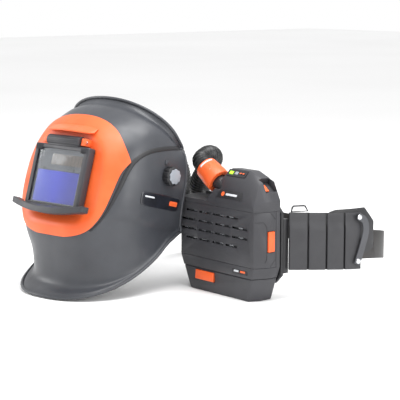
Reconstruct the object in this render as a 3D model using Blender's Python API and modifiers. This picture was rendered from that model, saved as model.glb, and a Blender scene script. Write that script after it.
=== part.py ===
"""Powered air respirator for welding: a tilting helmet with a flip-up dark filter, an air-fed
headgear, a breathing hose, a belt-worn blower and filter unit, and its waist belt.

Row frame: metres, +Z up.  The origin is the centre of the blower's flat base.  The blower faces -Y.
The helmet stands on its chin beside the blower and is turned a few degrees towards +X; its own
frame has +X to the right of the blower's view, -Y out of the face and its origin on the floor.
"""
import math

import bmesh
import bpy
from mathutils import Matrix, Vector

# ---------------------------------------------------------------- driving dimensions (metres)
GAP = 0.0003                      # air left between pieces that touch
WALL = 0.0025                     # casing wall of the blower

# blower
FRONT_HALF = 0.088                # half width of the blower's front face
SIDE_HALF = 0.099                 # half width at its sides
FRONT_Y = -0.032                  # front face
CHAMFER_Y = -0.008                # where the front chamfers meet the sides
BACK_Y = 0.018                    # back of the casing
BASE_HALF = 0.071                 # half width of the base
BASE_FRONT_Y = -0.0265            # front of the base
BATTERY_TOP = 0.038               # seam between battery and housing
COVER_BOTTOM = 0.056              # lower edge of the filter cover
COVER_TOP = 0.144                 # upper edge of the filter cover
COVER_BACK_Y = 0.006              # rear edge of the filter cover
SHOULDER_Z = 0.150                # low left shoulder of the top housing
HUMP_TOP = 0.203                  # top of the hump that holds the fan
HUMP_LEFT = -0.025                # foot of the hump's left slope
FAN_X = 0.032
FAN_Z = 0.169
FAN_RADIUS = 0.0245
IMPELLER_RADIUS = 0.0205
MOTOR_RADIUS = 0.013
PANEL_SLOPE = math.atan2(0.013, 0.012)
OUTLET_START = Vector((-0.020, -0.008, 0.179))
OUTLET_DIRECTION = Vector((-0.857, 0.0, 0.515)).normalized()
CUFF_LENGTH = 0.038
CUFF_RADIUS_BLOWER = 0.0205
CUFF_RADIUS_HOSE = 0.0185
SOCKET_RADIUS = 0.0125             # fan outlet tube inside the cuff
RECESS_LEAN = math.radians(38.0)   # finger recess in the hump's right corner
HOSE_RADIUS = 0.0165
BACK_PLATE_THICK = 0.005
BACK_PLATE_HALF = 0.097
BACK_PLATE_LOW = 0.026
BACK_PLATE_HIGH = 0.154

# belt
PAD_HEIGHT = 0.092
PAD_THICK = 0.005
PAD_GROOVE_THICK = 0.0022
STRAP_HEIGHT = 0.045
STRAP_THICK = 0.003
BELT_DROOP = 0.030                # how much lower the far side of the strap hangs
BELT_START_Y = BACK_Y + 0.014      # where a hip pad leaves the back plate
BELT_DEPTH = 0.236                # from there to the far side
BUCKLE_X = -0.012
BUCKLE_WIDTH = 0.034

# helmet
HELMET_X = -0.184
HELMET_Y = -0.114
HELMET_YAW = math.radians(8.0)
SHELL_THICK = 0.003
BEZEL_THICK = 0.0028
PIVOT_Y = 0.022                   # tilt axis, in the helmet's frame
PIVOT_Z = 0.189
PIVOT_HOLE = 0.0045
PIVOT_BOLT_RADIUS = 0.0035
KNOB_RADIUS = 0.0155
KNOB_WIDTH = 0.012
LENS_Y = -0.106                   # centre of the lens plane
LENS_Z = 0.190
LENS_LEAN = math.radians(17.0)
POCKET_DEPTH = 0.0165             # flat pad of the shell behind the lens plane
FILTER_WIDTH = 0.110              # welding filter cassette
FILTER_HEIGHT = 0.090
FILTER_DEPTH = 0.0086
FRAME_BORDER = 0.007
APERTURE_MARGIN = 0.010           # how much smaller the window is than the filter, both ways
APERTURE_WIDTH = FILTER_WIDTH - APERTURE_MARGIN
APERTURE_HEIGHT = FILTER_HEIGHT - APERTURE_MARGIN
GLASS_BORDER = 0.007              # cassette rim beside the dark glass
GLASS_HEIGHT = 0.051
GLASS_FOOT = 0.003                # cassette rim below the dark glass
HINGE_V = 0.059                   # flip hinge above the lens centre
HINGE_BACK = 0.003                # and behind the lens plane
HINGE_RADIUS = 0.0085
HINGE_PIN_RADIUS = 0.002
HEAD_X = 0.077                    # headband half width and half depth
HEAD_Y = 0.094
HEAD_BACK = 0.014                 # head centre behind the tilt axis
BAND_HEIGHT = 0.026
BAND_THICK = 0.0025
ARM_X = 0.1055                    # side arms

# Each row of the shell runs from the centre of the face round to the rear edge of a side:
# front y, front z, rear y, rear z, half width, roundness exponent, drop of the row between its ends.
SHELL_ROWS = (
    (-0.144, 0.0030, 0.058, 0.092, 0.118, 2.45, 0.012),
    (-0.137, 0.0085, 0.058, 0.097, 0.117, 2.40, 0.012),
    (-0.118, 0.022, 0.058, 0.104, 0.115, 2.40, 0.011),
    (-0.115, 0.060, 0.058, 0.120, 0.117, 2.55, 0.008),
    (-0.122, 0.100, 0.058, 0.142, 0.121, 2.85, 0.004),
    (-0.121, 0.145, 0.062, 0.166, 0.123, 2.95, 0.000),
    (-0.106, 0.200, 0.066, 0.194, 0.122, 2.80, 0.000),
    (-0.087, 0.240, 0.066, 0.211, 0.120, 2.55, 0.000),
    (-0.059, 0.272, 0.066, 0.219, 0.117, 2.35, 0.000),
    (-0.025, 0.293, 0.063, 0.223, 0.114, 2.20, 0.000),
    (-0.004, 0.300, 0.060, 0.226, 0.111, 2.10, 0.000),
    (0.005, 0.308, 0.066, 0.229, 0.114, 2.05, 0.000),
)
SIDE_START_Y = 0.025              # where the rounded front meets the straight sides
ROUND_STEPS = 12                  # steps round half of the front
SIDE_STEPS = 2                    # steps along a straight side

# Side view (y, z) of the orange front bezel's edge, from the brow round to the chin.
BEZEL_EDGE = ((-0.046, 0.300), (-0.048, 0.266), (-0.052, 0.242), (-0.051, 0.217), (-0.068, 0.201),
              (-0.084, 0.172), (-0.103, 0.131), (-0.113, 0.112), (-0.124, 0.099), (-0.200, 0.099),
              (-0.200, 0.300))

# The free hose, from the blower's cuff down behind the helmet, over the floor and up to the headgear.
HOSE_ROUTE = ((-0.0526, -0.0080, 0.1986), (-0.0695, -0.0025, 0.2080), (-0.0785, 0.0205, 0.2140),
              (-0.100, 0.046, 0.201), (-0.142, 0.052, 0.158), (-0.152, 0.073, 0.118),
              (-0.157, 0.098, 0.070), (-0.162, 0.130, 0.032), (-0.170, 0.168, 0.0175),
              (-0.192, 0.202, 0.0172), (-0.228, 0.214, 0.0172), (-0.264, 0.196, 0.0230),
              (-0.283, 0.162, 0.040), (-0.280, 0.128, 0.064), (-0.258, 0.102, 0.088),
              (-0.232, 0.085, 0.116), (-0.2145, 0.0745, 0.144), (-0.2097, 0.0665, 0.169),
              (-0.2083, 0.0590, 0.184), (-0.2071, 0.0506, 0.1955))

scene = bpy.context.scene
parts = None
cutters = None


# ---------------------------------------------------------------- helpers
def clear_scene():
    for item in list(bpy.data.objects):
        bpy.data.objects.remove(item, do_unlink=True)


def new_collection(name):
    group = bpy.data.collections.new(name)
    scene.collection.children.link(group)
    return group


def material(name, colour, roughness=0.5, metallic=0.0):
    made = bpy.data.materials.get(name)
    if made is None:
        made = bpy.data.materials.new(name)
        made.use_nodes = True
        shader = made.node_tree.nodes["Principled BSDF"]
        shader.inputs["Base Color"].default_value = (*colour, 1.0)
        shader.inputs["Roughness"].default_value = roughness
        shader.inputs["Metallic"].default_value = metallic
    return made


SHELL_GREY = ("moulded_shell_grey", (0.060, 0.064, 0.072), 0.45)
ORANGE = ("moulded_orange", (0.850, 0.175, 0.045), 0.45)
CHARCOAL = ("moulded_charcoal", (0.045, 0.045, 0.052), 0.50)
BLACK = ("moulded_black", (0.012, 0.012, 0.013), 0.55)
CLEAR = ("clear_polycarbonate", (0.80, 0.84, 0.86), 0.05)
DARK_GLASS = ("filter_glass", (0.10, 0.16, 0.75), 0.05)
STEEL = ("bright_steel", (0.70, 0.70, 0.70), 0.25, 1.0)
FABRIC = ("textile", (0.030, 0.030, 0.032), 0.90)
FOAM = ("foam", (0.08, 0.08, 0.09), 0.95)
PAPER = ("pleated_media", (0.80, 0.79, 0.74), 0.90)
LEATHER = ("leather", (0.022, 0.017, 0.014), 0.55)
RUBBER = ("rubber", (0.015, 0.015, 0.016), 0.70)
GREEN = ("light_green", (0.25, 0.75, 0.05), 0.40)
LIGHT_GREY = ("moulded_light_grey", (0.45, 0.47, 0.50), 0.45)
BOARD = ("printed_board", (0.02, 0.20, 0.08), 0.45)
COPPER = ("cell_wrap", (0.06, 0.16, 0.35), 0.40)


def finish(piece, finish_values, parent=None, smooth=True):
    """Give a new object its material, collection, parent and shading."""
    piece.data.materials.clear()
    piece.data.materials.append(material(*finish_values))
    for group in list(piece.users_collection):
        group.objects.unlink(piece)
    parts.objects.link(piece)
    piece.parent = parent
    if smooth and piece.type == 'MESH':
        piece.data.shade_smooth()
        piece.data.set_sharp_from_angle(angle=math.radians(35))
    return piece


def object_from_bmesh(name, bm, finish_values, parent=None, place=None):
    bmesh.ops.recalc_face_normals(bm, faces=bm.faces)
    mesh = bpy.data.meshes.new(name)
    bm.to_mesh(mesh)
    bm.free()
    piece = bpy.data.objects.new(name, mesh)
    scene.collection.objects.link(piece)
    finish(piece, finish_values, parent)
    if place is not None:
        piece.matrix_local = place
    return piece


def box_bmesh(size, centre=(0, 0, 0), bevel=0.0, segments=2):
    bm = bmesh.new()
    bmesh.ops.create_cube(bm, size=1.0)
    bmesh.ops.scale(bm, vec=size, verts=bm.verts)
    if bevel:
        bmesh.ops.bevel(bm, geom=bm.edges[:], offset=bevel, segments=segments, affect='EDGES', profile=0.5)
    bmesh.ops.translate(bm, vec=centre, verts=bm.verts)
    return bm


def box(name, size, centre, finish_values, parent=None, bevel=0.0, turn=None, segments=1):
    """A box with its own origin at its centre; turn is a rotation matrix."""
    bm = box_bmesh(size, bevel=bevel, segments=segments)
    place = Matrix.Translation(centre) @ (turn or Matrix.Identity(4))
    return object_from_bmesh(name, bm, finish_values, parent, place)


def axis_turn(direction):
    """Rotation that takes +Z to the given direction."""
    return Vector(direction).normalized().to_track_quat('Z', 'Y').to_matrix().to_4x4()


def turned(name, profile, centre, direction, finish_values, parent=None, steps=24):
    """A turned piece: a closed (radius, height) profile swept about +Z with a Screw modifier.

    The profile runs down its outer side, then back up the inner side or along the axis.
    """
    mesh = bpy.data.meshes.new(name)
    bm = bmesh.new()
    points = [bm.verts.new((r, 0, h)) for r, h in profile]
    closed = all(r > 0 for r, h in profile)
    for first, second in zip(points, points[1:]):
        bm.edges.new((first, second))
    if closed:
        bm.edges.new((points[-1], points[0]))
    bm.to_mesh(mesh)
    bm.free()
    piece = bpy.data.objects.new(name, mesh)
    scene.collection.objects.link(piece)
    screw = piece.modifiers.new("turn", 'SCREW')
    screw.steps = steps
    screw.render_steps = steps
    screw.use_merge_vertices = True
    screw.merge_threshold = 0.00001
    screw.use_smooth_shade = True
    finish(piece, finish_values, parent, smooth=False)
    piece.matrix_local = Matrix.Translation(centre) @ axis_turn(direction)
    return piece


def disc(name, radius, width, centre, direction, finish_values, parent=None, steps=24, edge=0.0006):
    """A plain disc or pin centred on its middle."""
    h = width / 2
    profile = [(0, h), (radius - edge, h), (radius, h - edge), (radius, -h + edge), (radius - edge, -h),
               (0, -h)]
    return turned(name, profile, centre, direction, finish_values, parent, steps)


def ring(name, outer, inner, width, centre, direction, finish_values, parent=None, steps=24):
    h = width / 2
    profile = [(outer, h), (outer, -h), (inner, -h), (inner, h)]
    return turned(name, profile, centre, direction, finish_values, parent, steps)


def loft_bmesh(sections, closed=False):
    """Skin a row of equal point loops; ends are capped unless the row closes on itself."""
    bm = bmesh.new()
    loops = [[bm.verts.new(point) for point in section] for section in sections]
    count = len(loops[0])
    pairs = list(zip(loops, loops[1:]))
    if closed:
        pairs.append((loops[-1], loops[0]))
    for low, high in pairs:
        for i in range(count):
            j = (i + 1) % count
            bm.faces.new((low[i], low[j], high[j], high[i]))
    if not closed:
        bm.faces.new(list(reversed(loops[0])))
        bm.faces.new(loops[-1])
    return bm


def loft(name, sections, finish_values, parent=None, closed=False, bevel=0.0):
    piece = object_from_bmesh(name, loft_bmesh(sections, closed), finish_values, parent)
    if bevel:
        edge = piece.modifiers.new("edges", 'BEVEL')
        edge.width = bevel
        edge.segments = 1
        edge.limit_method = 'ANGLE'
        edge.angle_limit = math.radians(40)
    return piece


def cutter(bm, parent=None, place=None):
    bmesh.ops.recalc_face_normals(bm, faces=bm.faces)
    mesh = bpy.data.meshes.new("cutter")
    bm.to_mesh(mesh)
    bm.free()
    tool = bpy.data.objects.new("cutter", mesh)
    cutters.objects.link(tool)
    tool.hide_render = True
    tool.display_type = 'WIRE'
    tool.parent = parent
    if place is not None:
        tool.matrix_local = place
    return tool


def cut(piece, tool, operation='DIFFERENCE'):
    step = piece.modifiers.new("cut", 'BOOLEAN')
    step.operation = operation
    step.solver = 'EXACT'
    step.object = tool
    return step


def cut_box(piece, size, centre, parent=None, turn=None):
    place = Matrix.Translation(centre) @ (turn or Matrix.Identity(4))
    return cut(piece, cutter(box_bmesh(size), parent, place))


def cylinder_bmesh(radius, depth, segments=24):
    bm = bmesh.new()
    bmesh.ops.create_cone(bm, cap_ends=True, cap_tris=False, segments=segments,
                          radius1=radius, radius2=radius, depth=depth)
    return bm


def cut_round(piece, radius, depth, centre, direction, parent=None, segments=24):
    place = Matrix.Translation(centre) @ axis_turn(direction)
    return cut(piece, cutter(cylinder_bmesh(radius, depth, segments), parent, place))


def join_box(piece, size, centre, parent=None, turn=None):
    place = Matrix.Translation(centre) @ (turn or Matrix.Identity(4))
    return cut(piece, cutter(box_bmesh(size), parent, place), 'UNION')


def join_round(piece, radius, depth, centre, direction, parent=None, segments=24):
    place = Matrix.Translation(centre) @ axis_turn(direction)
    return cut(piece, cutter(cylinder_bmesh(radius, depth, segments), parent, place), 'UNION')


def empty(name, place, parent=None):
    holder = bpy.data.objects.new(name, None)
    scene.collection.objects.link(holder)
    holder.empty_display_size = 0.02
    holder.parent = parent
    holder.matrix_local = place
    return holder


def smooth_points(route, per_span):
    """Points on a smooth curve through a route, per_span to each span."""
    points = [Vector(p) for p in route]
    result = []
    for i in range(len(points) - 1):
        p0 = points[max(i - 1, 0)]
        p1 = points[i]
        p2 = points[i + 1]
        p3 = points[min(i + 2, len(points) - 1)]
        for k in range(per_span):
            t = k / per_span
            result.append(0.5 * (2 * p1 + (p2 - p0) * t + (2 * p0 - 5 * p1 + 4 * p2 - p3) * t * t
                                 + (3 * p1 - p0 - 3 * p2 + p3) * t * t * t))
    result.append(points[-1])
    return result


def tube(name, points, radius, finish_values, parent=None, resolution=3, closed=False):
    curve = bpy.data.curves.new(name, 'CURVE')
    curve.dimensions = '3D'
    curve.bevel_depth = radius
    curve.bevel_resolution = resolution
    curve.use_fill_caps = not closed
    spline = curve.splines.new('POLY')
    spline.points.add(len(points) - 1)
    for target, point in zip(spline.points, points):
        target.co = (*point, 1.0)
    spline.use_cyclic_u = closed
    piece = bpy.data.objects.new(name, curve)
    scene.collection.objects.link(piece)
    return finish(piece, finish_values, parent, smooth=False)


# ---------------------------------------------------------------- blower casing
def plan_section(z, half_front, half_side, front, chamfer, back, inset=0.0):
    """One horizontal outline of the blower casing, counter-clockwise from the front left."""
    hf = half_front - inset
    hs = half_side - inset
    return [(-hf, front + inset, z), (hf, front + inset, z), (hs, chamfer + inset * 0.4, z),
            (hs, back - inset - 0.004, z), (hs - 0.006, back - inset, z), (-hs + 0.006, back - inset, z),
            (-hs, back - inset - 0.004, z), (-hs, chamfer + inset * 0.4, z)]


def casing_section(z, inset=0.0):
    """Outline of the casing at a height: the battery tapers towards the base."""
    share = min(max(z / COVER_BOTTOM, 0.0), 1.0)
    half_front = BASE_HALF + (FRONT_HALF - BASE_HALF) * share
    half_side = BASE_HALF + 0.008 + (SIDE_HALF - BASE_HALF - 0.008) * share
    front = BASE_FRONT_Y + (FRONT_Y - BASE_FRONT_Y) * share
    return plan_section(z, half_front, half_side, front, CHAMFER_Y, BACK_Y, inset)


def battery():
    """Battery pack: an open tray, the block of cells, a lid, and its front latch."""
    top = BATTERY_TOP - GAP
    case = loft("battery_case", [casing_section(z) for z in (0.0, 0.012, top)], CHARCOAL, bevel=0.0018)
    hollow = loft_bmesh([casing_section(0.003, WALL), casing_section(top - 0.0035, WALL),
                         casing_section(top + 0.002, WALL)])
    cut(case, cutter(hollow))
    latch_turn = Matrix.Rotation(math.radians(-5.6), 4, 'X')
    latch_y = BASE_FRONT_Y - 0.0028
    cut_box(case, (0.046, 0.012, 0.0165), (-0.030, latch_y + 0.002, 0.0265), turn=latch_turn)
    lid_low = top - 0.0032
    loft("battery_lid", [casing_section(lid_low, WALL + GAP), casing_section(top, WALL + GAP)], BLACK)
    box("battery_cells", (0.120, 0.030, 0.028), (0.0, 0.0, 0.0180), COPPER, bevel=0.004, segments=2)
    box("battery_latch", (0.0445, 0.0052, 0.0150), (-0.030, latch_y - 0.0002, 0.0265), ORANGE,
        turn=latch_turn, bevel=0.0008)


def main_housing():
    """Rear housing: back wall, base strip and the inner partition that carries the filter."""
    low = BATTERY_TOP
    high = COVER_TOP - GAP
    body = loft("main_housing", [casing_section(z) for z in (low, COVER_BOTTOM, high)], CHARCOAL)
    front_depth = 0.060
    cover_height = high - COVER_BOTTOM + 0.010
    cut_box(body, (0.240, front_depth, cover_height),
            (0.0, COVER_BACK_Y - front_depth / 2, COVER_BOTTOM + cover_height / 2 - GAP))
    inner_low = COVER_BOTTOM - 0.003
    hollow = [casing_section(low - 0.002, WALL), casing_section(inner_low - 0.003, WALL)]
    cut(body, cutter(loft_bmesh(hollow)))
    hollow_depth = BACK_Y - WALL - COVER_BACK_Y - WALL
    cut_box(body, (2 * SIDE_HALF - 4 * WALL, hollow_depth, high - inner_low),
            (0.0, COVER_BACK_Y + WALL + hollow_depth / 2, (high + inner_low) / 2 + 0.004))


def filter_cover():
    """Front cover: a deep shell with four rows of air slots, latched at its right side."""
    low = COVER_BOTTOM
    high = COVER_TOP - GAP
    cover = loft("filter_cover", [casing_section(low), casing_section(high)], CHARCOAL)
    depth = 0.060
    cut_box(cover, (0.240, depth, 0.12), (0.0, COVER_BACK_Y - GAP + depth / 2, (low + high) / 2))
    hollow = loft_bmesh([casing_section(low + WALL, WALL), casing_section(high - WALL, WALL)])
    cut(cover, cutter(hollow))
    slot_rows = ((0.130, -0.078, 0.054), (0.115, -0.088, 0.076), (0.100, -0.088, 0.076),
                 (0.085, -0.078, 0.052))
    for z, left, right in slot_rows:
        pitch = (right - left) / 4
        for k in range(4):
            centre = left + pitch * (k + 0.5)
            cut_box(cover, (pitch - 0.005, 0.012, 0.0032), (centre, FRONT_Y, z))
    cut_box(cover, (0.012, 0.014, 0.0335), (SIDE_HALF, -0.004, 0.097))
    box("cover_latch", (0.0045, 0.0128, 0.0320), (SIDE_HALF - 0.0011, -0.004, 0.097), ORANGE, bevel=0.0006)


def filter_stack():
    """Behind the cover: spark arrestor, prefilter, particle filter and its gasket."""
    height = 0.078
    middle = (COVER_BOTTOM + COVER_TOP) / 2
    width = 0.164
    arrestor = box("spark_arrestor", (width, 0.0012, height), (0, FRONT_Y + WALL + 0.0016, middle), STEEL)
    for row in range(5):
        for column in range(7):
            cut_box(arrestor, (0.012, 0.01, 0.006),
                    (-0.066 + column * 0.022, FRONT_Y + WALL + 0.0016, middle - 0.028 + row * 0.014))
    box("prefilter", (width, 0.005, height), (0, FRONT_Y + WALL + 0.0056, middle), FOAM, bevel=0.001)
    filter_front = FRONT_Y + WALL + 0.0088
    filter_back = COVER_BACK_Y - 0.0032
    pleats = 28
    pitch = (width - 0.012) / pleats
    depth = filter_back - filter_front
    outline = [(-width / 2, filter_back), (width / 2, filter_back), (width / 2, filter_front)]
    outline.append((width / 2 - 0.006, filter_front))
    for k in range(pleats):
        x = width / 2 - 0.006 - pitch * k
        outline.append((x - pitch / 2, filter_front + depth * 0.45))
        outline.append((x - pitch, filter_front))
    outline.append((-width / 2, filter_front))
    low = middle - height / 2
    sections = [[(x, y, z) for x, y in outline] for z in (low, low + height)]
    loft("particle_filter", sections, PAPER)
    gasket = box("filter_gasket", (width, 0.0024, height), (0, filter_back + 0.0016, middle), RUBBER)
    cut_box(gasket, (width - 0.012, 0.01, height - 0.012), (0, filter_back + 0.0016, middle))
    cut_box(bpy.data.objects["main_housing"], (0.080, 0.012, 0.050), (0, COVER_BACK_Y + 0.001, middle + 0.004))


def hump_section(y, half, left, left_z, right, right_z, far, far_z, side_z, inset=0.0, floor=None):
    """One front-view outline of the top housing at a depth y."""
    low = COVER_TOP if floor is None else floor
    h = half - inset
    shoulder = SHOULDER_Z - inset
    return [(-h, y, low), (h, y, low), (h, y, side_z - inset), (far - inset, y, far_z - inset),
            (right, y, right_z - inset), (left + inset, y, left_z - inset),
            (HUMP_LEFT + inset, y, shoulder), (-h, y, shoulder)]


def hump_sections(inset=0.0, floor=None):
    top = HUMP_TOP
    front = FRONT_Y + inset
    rear = BACK_Y - 0.004 - inset
    rows = [hump_section(front, FRONT_HALF, -0.0235, 0.1525, 0.078, 0.1525, 0.0855, 0.1520,
                         0.1505, inset, floor),
            hump_section(-0.016 + inset * 0.5, 0.0953, 0.0, top - 0.013, 0.057, top - 0.013, 0.083, 0.184,
                         0.160, inset, floor),
            hump_section(-0.004, SIDE_HALF, 0.0075, top, 0.050, top, 0.084, 0.190, 0.160, inset, floor),
            hump_section(rear, SIDE_HALF, 0.0075, top - 0.001, 0.050, top - 0.001, 0.084, 0.189,
                         0.160, inset, floor)]
    if inset == 0.0:
        rows.append(hump_section(BACK_Y, SIDE_HALF - 0.005, 0.0090, top - 0.005, 0.049, top - 0.005,
                                 0.081, 0.186, 0.158, inset, floor))
    return rows


def top_housing():
    """Top housing: the hump over the fan, the control panel slope and the finger recess."""
    body = loft("top_housing", hump_sections(), CHARCOAL)
    cut(body, cutter(loft_bmesh(hump_sections(WALL, COVER_TOP - 0.004))))
    recess_turn = Matrix.Rotation(RECESS_LEAN, 4, 'Y')
    recess_out = Vector((math.sin(RECESS_LEAN), 0, math.cos(RECESS_LEAN)))
    recess = Vector((0.0870, 0.0035, 0.1885))
    liner_place = Matrix.Translation(recess - recess_out * 0.0075) @ recess_turn
    liner = cutter(box_bmesh((0.0300, 0.0280, 0.0200)), place=liner_place)
    cut(liner, cutter(loft_bmesh(hump_sections())), 'INTERSECT')
    cut(body, liner, 'UNION')
    cut_box(body, (0.0260, 0.0240, 0.0300), recess, turn=recess_turn)
    tab = recess - recess_out * 0.0135 + Vector((0.0, -0.004, 0.0))
    box("release_tab", (0.0140, 0.0090, 0.0024), tab, ORANGE, turn=recess_turn, bevel=0.0006)
    cut_round(body, CUFF_RADIUS_BLOWER - 0.0040, 0.030, OUTLET_START + OUTLET_DIRECTION * -0.008,
              OUTLET_DIRECTION)


def control_panel():
    """Panel on the hump's front slope: a label plate, the status light and the power key."""
    turn = Matrix.Rotation(PANEL_SLOPE, 4, 'X')
    centre = Vector((0.026, -0.010, HUMP_TOP - 0.0065))
    out = Vector((0, -math.sin(PANEL_SLOPE), math.cos(PANEL_SLOPE)))
    body = bpy.data.objects["top_housing"]
    plate = box("control_panel", (0.044, 0.0125, 0.0008), centre + out * (GAP + 0.0004), BLACK, turn=turn)
    tall = 0.0054
    keys = (("status_light", -0.013, 0.0080, GREEN), ("power_key", -0.001, 0.0066, LIGHT_GREY))
    for name, offset, wide, finish_values in keys:
        place = centre + Vector((offset, 0, 0)) + out * 0.0005
        cut_box(plate, (wide + 2 * GAP, tall + 2 * GAP, 0.006), place, turn=turn)
        cut_box(body, (wide + 2 * GAP, tall + 2 * GAP, 0.016), place, turn=turn)
        box(name, (wide, tall, 0.0036), place, finish_values, turn=turn, bevel=0.0006)


def fan():
    """Radial fan: scroll casing with its outlet tube, the impeller on the motor's shaft, and the motor."""
    centre = Vector((FAN_X, 0.0, FAN_Z))
    forward = (0, -1, 0)
    back = BACK_Y - 0.004 - WALL - 0.0006
    depth = 0.0195
    casing = turned("fan_casing", [(FAN_RADIUS, depth), (FAN_RADIUS, 0), (0.003, 0), (0.003, 0.0015),
                                   (FAN_RADIUS - 0.0015, 0.0015), (FAN_RADIUS - 0.0015, depth)],
                    (FAN_X, back, FAN_Z), forward, BLACK, steps=28)
    socket_centre = OUTLET_START - OUTLET_DIRECTION * 0.004
    cut_round(casing, SOCKET_RADIUS + GAP, 0.060, socket_centre - OUTLET_DIRECTION * 0.010, OUTLET_DIRECTION)
    ring("outlet_socket", SOCKET_RADIUS, SOCKET_RADIUS - 0.0015, 0.046, socket_centre, OUTLET_DIRECTION, BLACK)
    motor_y = back - 0.0015 - GAP - 0.00325
    motor = disc("fan_motor", MOTOR_RADIUS, 0.0065, (FAN_X, motor_y, FAN_Z), forward, STEEL)
    shaft_bore = 0.0015
    cut_round(motor, shaft_bore + GAP, 0.030, (FAN_X, motor_y, FAN_Z), forward, segments=12)
    impeller_y = motor_y - 0.00325 - GAP - 0.0042
    impeller = disc("fan_impeller", IMPELLER_RADIUS, 0.0080, (FAN_X, impeller_y, FAN_Z), forward, LIGHT_GREY)
    blades = 9
    for k in range(blades):
        angle = 2 * math.pi * k / blades
        spot = centre + Vector((math.cos(angle), 0, math.sin(angle))) * 0.0140
        spot.y = impeller_y - 0.0030
        cut_box(impeller, (0.0090, 0.0080, 0.0050), spot, turn=Matrix.Rotation(-angle + 0.55, 4, 'Y'))
    join_round(impeller, shaft_bore, 0.010, (FAN_X, impeller_y + 0.006, FAN_Z), forward, segments=12)


def electronics():
    """Control board on the back wall of the main housing."""
    box("circuit_board", (0.060, 0.0016, 0.050), (-0.058, BACK_Y - WALL - 0.0032, 0.105), BOARD)


def back_plate():
    """Black back plate with rounded corners, screwed to the casing and carrying the belt."""
    half_height = (BACK_PLATE_HIGH - BACK_PLATE_LOW) / 2
    middle = (BACK_PLATE_HIGH + BACK_PLATE_LOW) / 2
    front = BACK_Y + GAP
    corner = 0.014
    outline = []
    for sx, sz in ((-1, -1), (1, -1), (1, 1), (-1, 1)):
        on_side = (sx * BACK_PLATE_HALF, middle + sz * (half_height - corner))
        on_edge = (sx * (BACK_PLATE_HALF - corner), middle + sz * half_height)
        outline += [on_side, on_edge] if sx * sz > 0 else [on_edge, on_side]
    sections = [[(x, y, z) for x, z in outline] for y in (front, front + BACK_PLATE_THICK)]
    plate = loft("back_plate", sections, BLACK)
    for side in (1, -1):
        join_box(plate, (0.0155, 0.0105, 0.086),
                 (side * (BACK_PLATE_HALF - 0.0073), front + BACK_PLATE_THICK + 0.005, middle - 0.004))


# ---------------------------------------------------------------- belt
def belt_path(side):
    """Plan route of a belt half, from the back plate round to the middle of the far side."""
    start = BACK_PLATE_HALF + 0.0035
    route = ((start, 0.0), (start + 0.018, 0.042), (start + 0.034, 0.084), (start + 0.0415, 0.118),
             (start + 0.0415, 0.160), (start + 0.028, 0.196), (start - 0.010, 0.222),
             (start - 0.060, 0.233), (0.0, BELT_DEPTH))
    return [Vector((side * x, BELT_START_Y + y, 0.0)) for x, y in route]


BELT_STEPS = 4                    # steps to a span of the route
PAD_STEPS = 12                    # a hip pad is the first three spans


def belt_run(side, first, last):
    """Points and outward directions along a belt half between two steps."""
    points = smooth_points(belt_path(side), BELT_STEPS)
    run = []
    for i in range(first, last + 1):
        ahead = points[min(i + 1, len(points) - 1)] - points[max(i - 1, 0)]
        out = Vector((ahead.y, -ahead.x, 0)).normalized() * side
        run.append((points[i], out))
    return run


def band_section(point, out, offset, thick, low, high):
    inner = point + out * (offset - thick / 2)
    outer = point + out * (offset + thick / 2)
    return [(inner.x, inner.y, low), (outer.x, outer.y, low),
            (outer.x, outer.y, high), (inner.x, inner.y, high)]


def pad_low(share):
    """Lower edge of a hip pad: it droops a little towards its end."""
    return 0.048 - 0.007 * share


def wire_loop(run):
    """Loop of thick wire on top of the right pad, for hanging the unit up."""
    top = pad_low(0.2) + PAD_HEIGHT + GAP
    first = run[0][0] + (run[1][0] - run[0][0]) * 0.4
    last = run[3][0] + (run[2][0] - run[3][0]) * 0.2
    shape = ((0.0, 0.0018), (0.06, 0.0085), (0.14, 0.0105), (0.76, 0.0105), (0.84, 0.0095), (1.0, 0.0018))
    wire = [first + (last - first) * share + Vector((0, 0, top + rise)) for share, rise in shape]
    tube("wire_loop", wire, 0.0015, BLACK, resolution=1, closed=True)


def hip_pad(side, label):
    """Moulded hip pad in four segments, and the plate behind it that carries the strap."""
    run = belt_run(side, 0, PAD_STEPS)
    sections = []
    for i, (point, out) in enumerate(run):
        low = pad_low(i / PAD_STEPS)
        thick = PAD_GROOVE_THICK if i in (3, 6, 9) else PAD_THICK
        sections.append(band_section(point, out, 0.0, thick, low, low + PAD_HEIGHT))
    loft("hip_pad_" + label, sections, BLACK)
    if side > 0:
        wire_loop(run)
    base = pad_low(0.8)
    plate_sections = []
    for i, (point, out) in enumerate(belt_run(side, 6, 15)):
        low = base + 0.018 + 0.004 * max(i - 6, 0)
        high = base + PAD_HEIGHT + (0.005 if i else 0.002) - 0.012 * max(i - 7, 0)
        plate_sections.append(band_section(point, out, -(PAD_THICK / 2 + GAP + 0.0012), 0.0022, low, high))
    loft("strap_plate_" + label, plate_sections, BLACK)


def stay(side, label):
    """Curved diagonal stay riveted across the end of a hip pad."""
    before, (root_point, out), after = belt_run(side, PAD_STEPS - 2, PAD_STEPS)
    along = (after[0] - before[0]).normalized()
    centreline = ((-0.001, 0.086), (0.011, 0.078), (0.0135, 0.060), (0.006, 0.034), (-0.003, 0.009))
    spine = smooth_points([(a, b, 0) for a, b in centreline], 3)
    half = 0.0058
    thick = 0.0022
    lift = PAD_THICK / 2 + GAP + 0.0030
    rows = []
    for i, spot in enumerate(spine):
        ahead = (spine[min(i + 1, len(spine) - 1)] - spine[max(i - 1, 0)]).normalized()
        across = Vector((ahead.y, -ahead.x, 0))
        corners = []
        for sign, height in ((-1, 0.0), (1, 0.0), (1, thick), (-1, thick)):
            flat = spot + across * half * sign
            corners.append(root_point + along * flat.x + out * (lift + height)
                           + Vector((0, 0, pad_low(0.9) + flat.y)))
        rows.append(corners)
    loft("stay_" + label, rows, CHARCOAL)


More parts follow.
